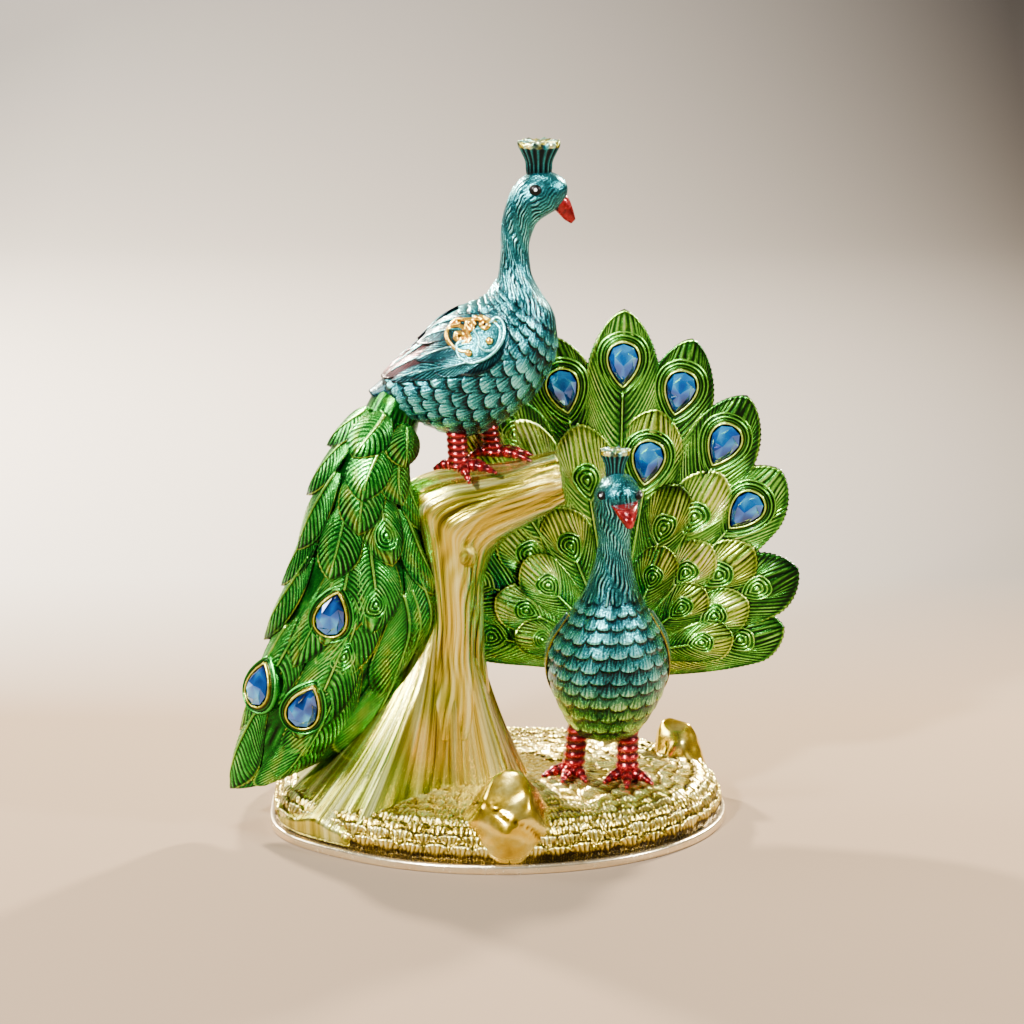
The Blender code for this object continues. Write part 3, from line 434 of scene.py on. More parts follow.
boulder("boulder_front", (0.0037, -0.0552, 0.0142), (0.0292, 0.0270, 0.0350),
        ((-100, 52, 0.84), (-58, 2, 0.93), (-128, 6, 0.88), (-88, -36, 0.94), (-12, 30, 0.90),
         (-170, 34, 0.90), (-30, -38, 0.90), (-150, -40, 0.88), (60, 40, 0.9), (125, 40, 0.9),
         (90, -10, 0.95)),
        (38, 58, 0.06, -0.5, 0.85))
boulder("boulder_back", (0.0654, 0.0214, 0.0120), (0.0190, 0.0175, 0.0275),
        ((-90, 10, 0.95), (-45, 30, 0.88), (-140, 35, 0.92), (0, 25, 0.95), (180, 12, 0.95),
         (-90, 70, 0.98), (60, 40, 0.95), (120, 20, 0.95), (-70, -30, 1.0), (-20, -30, 1.0),
         (-130, -30, 1.0), (60, -30, 0.9), (120, -30, 0.9)),
        (-30, 20, 0.1, -0.2, 0.8))


# Stump. A broken trunk with long ridged bark, a foot that flares over the mound to its rim,
# the twig of a knot, and one branch sawn off square. Gilded, with olive brown in the bark,
# more of it towards the left as painted shade.
bark_gilt, shader, start = new_finish("bark gilding", metallic=0.94, coat_weight=0.10, coat_roughness=0.06)
relief = start.carried("relief")
place = {order: start.carried(key) for order, key in enumerate(("ring_a", "ring_b", "along"))}
strand = start.node("ShaderNodeCombineXYZ", {}, place)
fine = start.node("ShaderNodeTexNoise", {}, {"Vector": strand, "Scale": 26.0, "Detail": 2.0})
broad = start.node("ShaderNodeTexNoise", {}, {"Vector": strand, "Scale": 4.5, "Detail": 1.0})
patches = start.noise(38.0, 2.0)
from_right = start.node("ShaderNodeSeparateXYZ", {}, {0: start.node("ShaderNodeTexCoord", output=3)})
# Olive in random patches, and more of it towards the left, where it is painted shade
greener = (patches * 4.0 - 2.1 - from_right * 16.0).kept()
# Darker in the grooves, brighter on the flutes: part wash and wear, part painted shade and highlight
wear_and_painted_light = (relief * 1.1 + fine * 0.44 - 0.22 + broad * 0.90 - 0.47).kept()
gold = wear_and_painted_light.ramp((0.05, (0.015, 0.010, 0.0005)), (0.34, (0.17, 0.12, 0.004)),
                 (0.62, (0.62, 0.47, 0.028)), (0.94, (1.0, 0.94, 0.34)))
olive = wear_and_painted_light.ramp((0.05, (0.008, 0.014, 0.0005)), (0.40, (0.09, 0.13, 0.003)),
                  (0.70, (0.42, 0.46, 0.035)), (0.95, (0.90, 0.94, 0.32)))
wired(start, shader, base_color=greener.mixed(gold, olive), roughness=0.12 + 0.18 * fine,
      normal=start.bumped(fine, 0.00025))
# Rows of two drawn edge points, half the depth and the middle's y, up the trunk and along the branch
STUMP = (
    (-36, 34, -4, 33, 13, -8), (-35, 46, -3.2, 44, 13.2, -7.5), (-31.5, 57, -3.8, 55, 12.8, -7),
    (-28.5, 66, -4.9, 64, 12, -7), (-26.2, 78, -5.2, 75, 11.5, -7), (-27.2, 94, -5.0, 87, 11.8, -7),
    (-29.5, 109, -3.8, 94, 12.2, -7), (-31.8, 122.5, -1.6, 98.5, 12.4, -7), (-22, 128.4, 1.2, 102.2, 12, -7),
    (-9, 130.2, 6.2, 106.4, 11.2, -7), (5, 131.8, 14, 111.4, 10.4, -7), (14, 134, 19.5, 114.6, 10.1, -7),
    (20.6, 135.6, 24.0, 117.2, 9.8, -7),
)
# Flare of the foot: heading in degrees from the right, and how far it runs over the mound
FLARE = ((0, 27), (25, 21), (60, 20), (95, 27), (125, 36), (150, 44), (172, 56), (195, 61), (215, 66),
         (228, 62), (238, 44), (248, 27), (265, 18), (285, 15.5), (300, 17), (318, 24), (335, 30), (348, 30),
         (360, 27))
FLARE_MIDDLE, FLARE_TOP, FLARE_NECK, FLARE_POWER = (-18.0, -7.5), 80.0, 9.0, 1.5
LOWEST = 0.0011            # nothing drawn comes below this height


def metres(points):
    """Drawn millimetres as metres, with nothing drawn below the foot of the mound."""
    points = np.asarray(points, float) / 1000.0
    points[..., 2] = np.maximum(points[..., 2], LOWEST)
    return points


def curve(rows, at):
    """Rows read at any place on a smooth curve: a cubic with the slope between the neighbours."""
    rows = np.asarray(rows, float)
    last = len(rows) - 1
    at = np.clip(np.asarray(at, float), 0, last)
    start = np.minimum(at.astype(int), last - 1)
    share = (at - start)[..., None]
    before, here, after, beyond = (rows[np.clip(start + k, 0, last)] for k in (-1, 0, 1, 2))
    bend = 2 * before - 5 * here + 4 * after - beyond
    twist = 3 * here - before - 3 * after + beyond
    return here + 0.5 * ((after - before) * share + bend * share ** 2 + twist * share ** 3)


def body(rows):
    """Surface whose cross-sections are ovals through two drawn edge points.

    A row is x, z, x, z of the two points, half the depth, and the middle's y. Turn 0 is
    at the second point, pi at the first, and -pi/2 faces the viewer.
    """
    def surface(at, turn, lift=0.0):
        ax, az, bx, bz, half, y = np.moveaxis(curve(rows, at), -1, 0)
        cos, sin = np.cos(turn), np.sin(turn)
        arm = np.stack([cos * (bx - ax) / 2, sin * half, cos * (bz - az) / 2], -1)
        size = np.linalg.norm(arm, axis=-1, keepdims=True)
        middle = np.stack([(ax + bx) / 2, y, (az + bz) / 2], -1)
        return middle + arm * (1.0 + np.asarray(lift)[..., None] / np.maximum(size, 0.5))
    surface.last = len(rows) - 1
    return surface


def bark(along, turn, strands):
    """Depth of bark in millimetres and its relief: cosine flutes, and thin grooves that come and go."""
    lean = turn + 0.11 * np.sin(1.1 * along + 2 * turn) + 0.02 * np.sin(3.1 * along + 5 * turn)
    flutes = np.cos(strands / 2 * lean + 0.5 * along) * (0.6 + 0.4 * np.sin(0.9 * along + 3 * turn))
    grain = np.cos(2.0 * strands * lean + 1.5 * np.sin(1.4 * along + 3 * turn))
    first = np.sin(strands * lean + 0.4 * along + 0.5 * np.sin(1.3 * along + 3 * turn))
    second = np.sin(1.3 * strands * lean - 0.3 * along + 0.6 * np.sin(2.1 * along + 2 * turn))
    here = eased(0.3 + 0.9 * np.sin(0.8 * along + 4 * turn + 1.0))
    there = eased(0.3 + 0.9 * np.sin(1.0 * along - 3 * turn))
    groove = np.exp(-(first / 0.40) ** 2) * here + 0.7 * np.exp(-(second / 0.40) ** 2) * there
    relief = 0.66 + 0.12 * flutes - 0.30 * groove + 0.09 * grain
    return 0.50 * flutes - 0.22 * groove + 0.05 * grain, np.clip(relief, 0, 1)


def strands_at(turn, along):
    """Places for the bark's streaks: round a ring, and slowly along it."""
    ring_a, ring_b = np.cos(turn) + 0 * along, np.sin(turn) + 0 * along
    return {"ring_a": ring_a, "ring_b": ring_b, "along": 0.0007 * along + 0 * turn}


def twig(path, radii, strands, sides, steps):
    """Round twig of changing radius along a smooth curve through its path, carrying bark."""
    rows = curve(np.column_stack([path, radii]), np.linspace(0, len(path) - 1, steps))
    middle, radius = rows[:, :3], rows[:, 3:]
    along = np.gradient(middle, axis=0)
    along /= np.linalg.norm(along, axis=1, keepdims=True)
    across = np.cross(along, (0.18, 0.94, 0.30))
    across /= np.linalg.norm(across, axis=1, keepdims=True)
    other = np.cross(along, across)
    turn = np.linspace(0, 2 * math.pi, sides, endpoint=False)[None, :]
    depth, relief = bark(np.linspace(0, 3, steps)[:, None], turn, strands)
    reach = (radius + 0.7 * depth)[..., None]
    ring = across[:, None] * np.cos(turn)[..., None] + other[:, None] * np.sin(turn)[..., None]
    marks = strands_at(2 * turn, np.linspace(0, 20, steps)[:, None])
    return shell(metres(middle[:, None] + reach * ring), relief=relief, **marks)


at = np.linspace(0, len(STUMP) - 1, 92)[:, None]
turn = np.linspace(0, 2 * math.pi, 252, endpoint=False)[None, :]
depth, relief = bark(at, turn, 14)
trunk = body(STUMP)(at, turn, depth + 0.1)
rings = np.linspace(1.0, 0.0, 12)[1:-1]
sawn = trunk[-1].mean(0) + (trunk[-1] - trunk[-1].mean(0)) * rings[:, None, None]
year = np.cos(rings * 22)[:, None]
sawn += (0.25 * year + 0.35)[..., None] * (0.99, 0.0, 0.1)
trunk = np.concatenate([trunk, sawn])
relief = np.concatenate([relief, np.clip(0.6 + 0.4 * year + 0 * turn, 0, 1)])
trunk_strands = strands_at(turn, 11 * np.concatenate([at, at[-1:] + 0 * rings[:, None]]))

# The foot is a flared skirt: its reach from the middle grows with a power of the way down
turn = np.linspace(0, 2 * math.pi, 240, endpoint=False)[None, :]
down = np.linspace(0, 1, 60)[:, None]
headings, reaches = np.array(FLARE, float).T
run = np.interp(np.degrees(turn), headings, reaches)
run = run + 1.6 * np.sin(9 * turn + 1) + 1.0 * np.sin(17 * turn)
foot_x, foot_y = FLARE_MIDDLE[0] + run * np.cos(turn), FLARE_MIDDLE[1] + run * np.sin(turn)
heading = np.arctan2(foot_y, foot_x)
inward = 1 - np.hypot(foot_x, foot_y) / 1000 / mound_radius(heading)
ground = mound_point(np.clip(inward, 0.004, 1), heading)[..., 2] * 1000 - 1.2
depth, flare_relief = bark(3.0 * down, turn, 15)
swell = (1.2 * depth + 0.9 * np.sin(9 * turn + 1.5 * down)) * (0.3 + 0.7 * down)
reach = FLARE_NECK + (run - FLARE_NECK) * down ** FLARE_POWER + swell
foot_x, foot_y = FLARE_MIDDLE[0] + reach * np.cos(turn), FLARE_MIDDLE[1] + reach * np.sin(turn)
rim_radius = mound_radius(np.arctan2(foot_y, foot_x)) * 1000
inside = np.minimum(1.0, 0.985 * rim_radius / np.hypot(foot_x, foot_y))
flare = np.stack([foot_x * inside, foot_y * inside, FLARE_TOP + (ground - FLARE_TOP) * down], -1)
flare = np.concatenate([flare, flare[-1:] * (0.9, 0.9, 0.0) + (0, 0, 1.5)])
flare_relief = 0.28 + 0.6 * np.concatenate([flare_relief, flare_relief[-1:]])
flare_strands = strands_at(3 * turn, 30 * np.concatenate([down, down[-1:]]))
shells = [
    shell(metres(trunk), relief=relief, **trunk_strands),
    shell(metres(flare), relief=flare_relief, **flare_strands),
    twig([(-11, -15, 99), (-10, -20.5, 101.5), (-9.2, -23, 104.5)], (3.8, 2.9, 1.9), 4, 32, 30),
]
piece("stump", shells, bark_gilt)


# Draped tail of the upper bird. Long feathers with a raised shaft and combed barbs,
# cast in overlapping tiers, enamelled deep green with gilt rubbed on their edges.
TRAIN = (
    (-33, 167, -25, 151, 8, -8), (-41, 160.5, -27, 150, 10.5, -8), (-46, 152.5, -28, 144, 12, -8.5),
    (-52.5, 143.5, -30, 136, 13.4, -9.5), (-59, 132, -32, 127, 14.4, -11),
    (-64.2, 119, -30.5, 115.5, 15, -12), (-67.6, 106, -28.2, 102.5, 15.4, -13),
    (-72, 93.5, -24.8, 90, 15.6, -14), (-77.2, 80, -25, 77.5, 15.4, -14.5), (-81.6, 66, -31, 64.5, 14.6, -15),
    (-85.6, 51.5, -39.5, 50, 13.2, -15.5), (-89.8, 37.5, -49, 36.5, 11, -16),
    (-92.6, 25, -60, 26.5, 8, -16.5), (-93.6, 15, -76, 19, 4, -17),
)
ROW_SPACING = 13.8         # mean distance from one drawn row of the tail to the next
# Drawn place of the tip, length, width and tier, and the eye: 0 none, 1 embossed, 2 a stone
TRAIN_FEATHERS = (
    (-94.2, 14.0, 40, 16, 0, 0), (-92.6, 37.0, 40, 15, 0, 0), (-83, 16.5, 42, 19, 1, 0),
    (-72.0, 26.6, 44, 21, 1, 0), (-57.6, 27.6, 42, 20, 1, 0), (-42.6, 50.2, 40, 18, 1, 0),
    (-82.0, 70.0, 34, 13, 1, 0), (-83.2, 44.6, 40, 15, 2, 2), (-69.4, 37.4, 44, 20, 3, 2),
    (-59.0, 57.0, 40, 20, 2, 1), (-31.0, 65.0, 38, 18, 1, 0), (-36.6, 56.0, 36, 16, 0, 0),
    (-76.0, 89.6, 34, 13, 2, 0), (-69.4, 63.8, 36, 15, 3, 0), (-59.0, 72.6, 36, 18, 4, 2),
    (-45.0, 76.0, 40, 19, 3, 1), (-24.4, 85.6, 36, 16, 2, 0), (-67.6, 103.0, 32, 13, 3, 0),
    (-56.8, 95.8, 30, 14, 5, 0), (-38.6, 100.6, 32, 14, 4, 1), (-28.8, 109.0, 28, 12, 3, 0),
    (-64.6, 121.0, 26, 12, 4, 0), (-48.0, 112.0, 30, 14, 6, 0), (-47.0, 124.0, 28, 13, 7, 0),
    (-36.0, 121.0, 26, 12, 5, 0), (-57.0, 139.0, 22, 11, 5, 0), (-48.2, 137.6, 24, 12, 8, 0),
    (-35.0, 135.0, 22, 12, 7, 0),
)
# Eye of each kind: how far its middle is from the tip, its half length and its half width
TRAIN_EYES = (None, (11.5, 5.2, 3.4), (12.0, 9.0, 6.2))
SHAFT_RISE, LEAF_STEP, EDGE_THICKNESS = 1.5, 1.2, 0.8
TRAIN_GREENS = (0.0004, 0.007, 0.0006), (0.005, 0.115, 0.007), (0.045, 0.50, 0.040), (0.52, 1.0, 0.24)
RUBBED_GILT = (0.02, 0.02, 0.0005), (0.20, 0.17, 0.004), (0.66, 0.56, 0.03), (1.0, 0.93, 0.30)


def enamel(name, colours, gilt=RUBBED_GILT, grain=2400.0, metal=0.90, speck=0.34, glitter=0.00008):
    """Clear coloured enamel over gilt, dark in the grooves where it pools and where shade is painted,
    thin on the ridges, with painted highlights at the brightest stops.

    The gilt is bare where the tint is high. Both sets of colours go from groove to ridge.
    """
    made, shader, start = new_finish(name, metallic=metal, coat_weight=0.12, coat_roughness=0.05)
    relief, tint, shade = (start.carried(key) for key in ("relief", "tint", "shade"))
    specks, cloud, patches = start.noise(grain, 3.0), start.noise(80.0, 3.0), start.noise(260.0, 2.0, 1.0)
    # Groove to ridge: part pooled enamel, part painted shade and painted highlight
    thin = relief * 1.20 + specks * speck - 0.5 * speck + cloud * 0.50 - 0.36
    thin = (thin + patches * 0.30 - 0.15 - 0.42 * shade).kept()
    bare = (tint * 1.3 + cloud * 0.6 + patches * 0.6 - 0.72).kept()
    stops = (0.04, 0.36, 0.68, 1.0)
    colour = bare.mixed(thin.ramp(*zip(stops, colours)), thin.ramp(*zip(stops, gilt)))
    wired(start, shader, base_color=colour, roughness=0.12 + 0.22 * specks,
          normal=start.bumped(specks, glitter))
    return made


def sideways(surface, place, heading):
    """Step in a surface's two parameters that moves a millimetre across a heading."""
    at, turn, step = place[..., 0], place[..., 1], 0.01
    first = np.linalg.norm(surface(at + step, turn) - surface(at - step, turn), axis=-1) / (2 * step)
    second = np.linalg.norm(surface(at, turn + step) - surface(at, turn - step), axis=-1) / (2 * step)
    first, second = np.maximum(first, 0.5), np.maximum(second, 0.5)
    u, v = first * heading[0], second * heading[1]
    return np.stack([-v / (first * np.hypot(u, v)), u / (second * np.hypot(u, v))], -1)


def nearest_place(surface, x, z, turns=(-0.97, -0.03)):
    """Place on a body's near side under a drawn point: the least miss on a fine grid."""
    at = np.linspace(0.0, surface.last, 12 * surface.last + 1)[:, None]
    turn = np.linspace(turns[0] * math.pi, turns[1] * math.pi, 90)[None, :]
    seen = surface(at + 0 * turn, turn + 0 * at)
    i, j = np.unravel_index(np.argmin(np.hypot(seen[..., 0] - x, seen[..., 2] - z)), seen.shape[:2])
    return at[i, 0], turn[0, j]


def long_outline(share):
    """Half width of a feather that is widest at 0.6 and comes to a blunt point."""
    lower = 0.34 + 0.66 * np.sin(math.pi / 2 * np.clip(share / 0.6, 0, 1))
    return lower * np.clip(1 - np.clip((share - 0.6) / 0.4, 0, 1) ** 2.4, 0, 1) ** 0.85


def spaced(points, shares):
    """A drawn line's points at shares of its length."""
    reach = np.concatenate([[0.0], np.cumsum(np.linalg.norm(np.diff(points, axis=0), axis=1))])
    return np.stack([np.interp(shares, reach / reach[-1], points[:, k]) for k in (0, 1)], -1)


def pear_width(turn):
    """Width of a pear at a turn from its point: sine of the turn times sine of half of it to 0.85."""
    return np.sin(turn) * np.abs(np.sin(turn / 2)) ** 0.85


def pear_line(half_length, half_width, turn):
    """Edge of a pear at turns from its point, as places along its axis and across it."""
    wide = pear_width(turn)
    return np.stack([-half_length * np.cos(turn), half_width * wide / wide.max()], -1)


def feather(surface, root, tip, width, lift, sink, outline, paint, barbs, groove, eye=None, embossed=True,
            back=0.0, seed=0.0, high=SHAFT_RISE):
    """Closed shells of one feather on a surface: its vane, its shaft and its embossed eye.

    The vane is ruled: each barb runs from the shaft or the eye's edge to the outline,
    and the ridges are a cosine of the share of the way round. The eye is given by the
    distance of its middle from the tip, its half length and its half width.
    """
    heading = np.subtract(tip, root)
    root_point, tip_point = (surface(np.array(a), np.array(b)) for a, b in (root, tip))
    length = np.linalg.norm(tip_point - root_point)

    def on(along, across, height):
        place = np.array(root) + heading * (along / length)[..., None]
        place = place + sideways(surface, place, heading) * across[..., None]
        return surface(place[..., 0], place[..., 1], height)

    def half(along):
        return np.maximum(width / 2 * outline(np.clip(along / length, 0, 1)), 0.05)

    def level(along, across):
        share = along / length
        crown = high * (0.3 + 0.7 * half(along) / (width / 2))
        return lift[0] + (lift[1] - lift[0]) * share + crown * np.clip(1 - np.abs(across) / half(along), 0, 1)

    def under(along, across):
        near = np.clip(1 - np.abs(across) / half(along), 0, 1)
        edge = level(along, 1e3) - EDGE_THICKNESS
        return edge * (1 - near) - sink * (0.25 + 0.75 * half(along) / (width / 2)) * near

    run = np.sin(math.pi / 2 * np.linspace(0, 1, 200))
    outer = np.stack([run * length, half(run * length) * (run < 1)], -1)
    middle, eye_length, eye_width = eye if eye else (0.0, 0.0, 0.0)
    foot = length - middle - eye_length if eye else 0.80 * length
    straight = 20
    inner = np.stack([np.linspace(0, foot, straight), np.full(straight, 0.30)], -1)
    if eye:
        pear_side = pear_line(eye_length, eye_width, np.linspace(0, math.pi, 40))
        inner = np.concatenate([inner, pear_side[1:] + (length - middle, 0)])
    rows = 3 * barbs
    way = np.linspace(0, 1, rows + 1)
    reach = np.concatenate([[0.0], np.cumsum(np.linalg.norm(np.diff(outer, axis=0), axis=1))])
    shoulder = min(foot + 0.70 * width, 0.985 * length) if eye else length
    bend = np.interp(shoulder, outer[:, 0], reach / reach[-1])
    inner_reach = np.concatenate([[0.0], np.cumsum(np.linalg.norm(np.diff(inner, axis=0), axis=1))])
    kink = inner_reach[straight - 1] / inner_reach[-1] if eye else 1.0
    lagging = kink * np.clip(way / bend, 0, 1) ** 1.8
    lagging = lagging + (1 - kink) * np.clip((way - bend) / max(1 - bend, 1e-6), 0, 1)
    start = spaced(inner, lagging)
    end = spaced(outer, way)
    way = np.concatenate([way, way[-2::-1]])[:, None]
    side = np.concatenate([-np.ones(rows + 1), np.ones(rows)])[:, None]
    side[rows] = 0.0
    start = np.concatenate([start, start[-2::-1]])[:, None]
    end = np.concatenate([end, end[-2::-1]])[:, None]

    out = np.array([0.0, 0.07, 0.22, 0.40, 0.58, 0.73, 0.84, 0.92, 0.975, 1.0])
    luck = math.sin(3.7 * seed)
    phase = 2 * math.pi * barbs * way + 0.9 * np.sin(4 * out + seed)
    phase = phase + 0.9 * np.sin(0.37 * barbs * way + seed + side)
    wave = 0.30 * np.sin(1.3 * barbs * way + seed + 2.0 * side) * np.cos(13.0 * way + 4 * out + 2 * seed)
    ridge = np.cos(phase) * (0.70 + wave)
    notched = out - 0.012 * (1 - np.cos(2 * math.pi * barbs * way)) * (out > 0.9)
    along = start[..., 0] + (end[..., 0] - start[..., 0]) * notched ** 1.5
    across = side * (start[..., 1] + (end[..., 1] - start[..., 1]) * notched)
    window = np.minimum(1.0, 5.0 * out + 0.1) * (1 - 0.6 * eased((out - 0.86) / 0.1))
    rim = np.exp(-((out - 0.965) / 0.022) ** 2)
    rubbed = rim * eased(0.55 + 0.9 * np.sin(9.0 * way + 2.1 * seed + side))
    height = level(along, across) + groove * ridge * window + 0.25 * rim - 0.25 * (out == 1.0)
    top = on(along, across, height)
    # Painted shade beside the shaft, in the groove inside the rim and along the foot of the outer edge
    painted_hollow_shade = 0.25 * np.exp(-((out - 0.90) / 0.05) ** 2) + 0.35 * np.exp(-out / 0.05)
    relief = 0.46 + 0.50 * ridge * window + 0.25 * rubbed - painted_hollow_shade - 0.5 * (out == 1.0) + 0.10 * luck
    tint, shade = paint(way, out + 0 * way, side)
    tint = np.clip(tint + 0.55 * rubbed + 0.08 * math.sin(5.1 * seed), 0, 1)

    inward = np.array([0.965, 0.5, 0.0])
    along = start[..., 0] + (end[..., 0] - start[..., 0]) * inward ** 1.5
    across = side * (start[..., 1] + (end[..., 1] - start[..., 1]) * inward)
    ridge = np.cos(2 * math.pi * barbs * way) * (inward < 0.9)
    bottom = on(along, across, under(along, across) - back * 0.5 * (1 + ridge) * (inward > 0.05))
    vane = np.concatenate([top, bottom], 1)
    first_point = on(np.array([-0.4]), np.array([0.0]), level(np.array([0.0]), 0.0) - 0.5)[0]
    shells = [shell(metres(vane), ends=metres(np.array([first_point, vane[-1].mean(0)])),
                    relief=np.clip(np.concatenate([relief, 0.42 + 0.3 * ridge], 1), 0, 1),
                    tint=np.concatenate([tint, 0 * ridge], 1),
                    shade=np.clip(np.concatenate([shade, 0.15 + 0 * ridge], 1), -1, 1))]

    along = np.linspace(0, foot + 0.5, 26)[:, None]
    turn = np.linspace(0, 2 * math.pi, 8, endpoint=False)
    thick = 0.52 * (1 - 0.6 * along / length)
    upper = level(along, 0.0) + 0.05 + thick * 0.8 * np.sin(turn)
    lower = under(along, 0.0) - back * 0.6
    shaft = on(along + 0 * turn, thick * np.cos(turn), np.where(np.sin(turn) > -0.1, upper, lower))
    shells.append(shell(metres(shaft), relief=0.40 + 0.30 * np.sin(turn), tint=0.25, shade=0.0))
    if eye and embossed:
        turn = np.linspace(0, 2 * math.pi, 48, endpoint=False)
        wobble = 1 + 0.05 * np.sin(2 * turn + seed) + 0.03 * np.sin(5 * turn + 2 * seed)
        line = pear_line(eye_length, eye_width, turn) * wobble[:, None]
        far = np.array([0.8, 1.08, 1.04, 1.0, 0.94, 0.88, 0.82, 0.76, 0.70, 0.63, 0.56, 0.49, 0.42, 0.34,
                        0.24, 0.12])[:, None]
        bands = np.cos(2 * math.pi * (1.0 - far) / 0.295)
        along = length - middle + line[:, 0] * far + 0.12 * eye_length * (1 - far)
        across = line[:, 1] * far
        raised = level(along, across) + 0.30 + 0.42 * bands - 0.25 * far + np.where(far > 1.05, -1.3, 0.0)
        raised[0] = under(along[0], across[0]) - back * 0.8
        heights = np.array([raised[0].mean(), raised[-1].mean() + 0.2])
        eye_ends = on(np.full(2, length - middle + 0.12 * eye_length), np.zeros(2), heights)
        marks = 0.44 + 0.34 * bands * (0.75 + 0.25 * np.sin(3 * turn + seed)) - 0.1 * (1 - far)
        marks = np.clip(marks, 0, 1) * (far < 1.06)
        tints, shades = paint(np.array([[0.45]]), np.array([[0.1]]), np.array([[1.0]]))
        shells.append(shell(metres(on(along, across, raised)), ends=metres(eye_ends), relief=marks,
                            tint=0.10 + 0.5 * float(tints.ravel()[0]), shade=-0.1))
    return shells


def train_paint(way, out, side):
    """Gilt streak down one side and gilt at the tip, and a darker other side."""
    streak = np.exp(-((out - 0.62) / 0.16) ** 2) * eased((way - 0.45) / 0.2) * (side < 0)
    tint = 0.32 * streak + 0.15 * eased((way - 0.9) / 0.1)
    return tint, 0.02 + 0.25 * eased((out - 0.1) / 0.5) * (side > 0) + 0 * way


surface = body(TRAIN)
at = np.linspace(0, surface.last, 90)[:, None]
turn = np.linspace(0, 2 * math.pi, 64, endpoint=False)[None, :]
combed = np.cos(32 * turn + 2 * np.sin(2 * at))
shells = [shell(metres(surface(at, turn, 0.15 * combed)), relief=0.36 + 0.24 * combed, tint=0.0, shade=0.12)]
for order, (x, z, length, width, tier, kind) in enumerate(TRAIN_FEATHERS):
    at, turn = nearest_place(surface, x, z)
    root_place = max(at - length / ROW_SPACING, 0.2), turn + 0.36 * (-math.pi / 2 - turn)
    lift = (0.2 + 0.30 * LEAF_STEP * tier, 0.9 + 0.45 * LEAF_STEP * tier)
    shells += feather(surface, root_place, (at, turn), width, lift, 3.0, long_outline, train_paint,
                      barbs=int(length * 0.58), groove=0.28, eye=TRAIN_EYES[kind], embossed=kind == 1,
                      seed=1.7 * order)
train_enamel = enamel("tail enamel", TRAIN_GREENS)
piece("draped_tail", shells, train_enamel)
shells = []
for order in range(11):
    at = 12.6 - 1.0 * order
    turn = math.pi / 2 + 0.55 * (-1.0) ** order * (0.4 if order == 0 else 1.0)
    root_place = max(at - 2.9, 0.4), math.pi / 2 + 0.4 * (turn - math.pi / 2)
    shells += feather(surface, root_place, (at, turn), 17 - 0.5 * order, (0.3, 1.4), 3.0, long_outline,
                      train_paint, barbs=20, groove=0.26, seed=2.3 * order)
piece("draped_tail_back", shells, train_enamel)


# Upper bird. Body, neck and head in one sweep, with scale feathers in rows on the
# breast and fine combed feathers up the neck, in teal pearl enamel over gilt.
PERCHED = (
    (-45, 158, -38, 150.5, 5, -8), (-41.5, 161, -31, 148.5, 9, -8), (-35, 167.5, -25.5, 146.5, 12.5, -8),
    (-27, 175, -17.5, 143.2, 15.5, -8), (-20, 181.8, -8.5, 142.8, 17.6, -8), (-13, 187, 0.5, 146.8, 18.4, -8),
    (-7, 190, 8.5, 152.8, 17.8, -8), (-3.8, 191.8, 15.2, 160.2, 16, -8), (-1.9, 194, 19.4, 169.2, 13.8, -8),
    (-0.6, 196.6, 20.7, 177.8, 11.6, -8), (0.3, 199.6, 19.4, 186, 9.4, -8),
    (0.8, 203.2, 15.4, 192.4, 7.4, -8), (1.1, 208, 12.0, 199.2, 6.0, -8), (1.1, 213.6, 10.9, 206.4, 5.3, -8),
    (1.7, 218.8, 11.4, 212, 5.2, -8), (3.0, 224.2, 13.6, 217.4, 5.9, -8), (5.2, 229.2, 17.4, 220.4, 6.7, -8),
    (8.6, 233.4, 20.8, 222.4, 6.7, -8), (13.2, 235.6, 23.6, 226.0, 5.6, -8),
    (18.6, 235.2, 24.2, 229.8, 3.6, -8), (21.6, 233.8, 23.4, 232, 1.4, -8),
)
SCALE_LIP, SCALE_POINT, SCALE_GROOVE = 0.75, 0.48, 0.13
TEALS = (0.0005, 0.005, 0.007), (0.006, 0.072, 0.084), (0.030, 0.35, 0.37), (0.27, 0.90, 0.89)
BELLY_GREENS = (0.001, 0.008, 0.002), (0.008, 0.06, 0.012), (0.07, 0.24, 0.04), (0.50, 0.78, 0.22)


def feathered(rows, around, first, last, tiers, blades, head_rows, green):
    """Bird from its tail end up: rows of scales between two of its drawn rows, then a combed neck.

    The neck's combing is a cosine round it that leans with height, and dies out on the head.
    Below the row called green the body is greener.
    """
    surface = body(rows)
    row, share, lift, relief = shingled(tiers, around, 6, 14, blades, SCALE_POINT, SCALE_LIP, SCALE_GROOVE)
    spacing = (last - first) / tiers
    turn = share[:1] * 2 * math.pi
    low = np.linspace(0.0, first - 0.3 * spacing, 6)[:, None] + 0 * turn
    high = np.linspace(last + 0.15 * spacing, surface.last, head_rows)[:, None] + 0 * turn
    high[0] = (first + spacing * row)[-1] + 0.02
    climb = (high - last) / (surface.last - last)
    lean = turn + 0.10 * np.sin(2.3 * high + 2 * turn) + 0.03 * np.sin(7.1 * high + 3 * turn)
    coarse = np.cos(30 * lean) * eased(0.5 + 0.8 * np.sin(4.1 * high + 6 * turn))
    fine = 0.7 * np.cos(43 * lean + 1) * eased(0.5 - 0.8 * np.sin(3.3 * high + 5 * turn))
    comb = (coarse + fine) * (1 - 0.75 * eased((climb - 0.55) / 0.3))
    at = np.concatenate([low, first + spacing * row, high])
    lifts = np.concatenate([0 * low, lift, 0.12 * comb])
    reliefs = np.concatenate([0.25 + 0 * low, relief, np.clip(0.44 + 0.42 * comb, 0, 1)])
    points = surface(at, turn + 0 * at, lifts)
    tint = eased((green - at) / 2.5) * 0.9
    return shell(metres(points), relief=reliefs, tint=tint, shade=0.0), surface


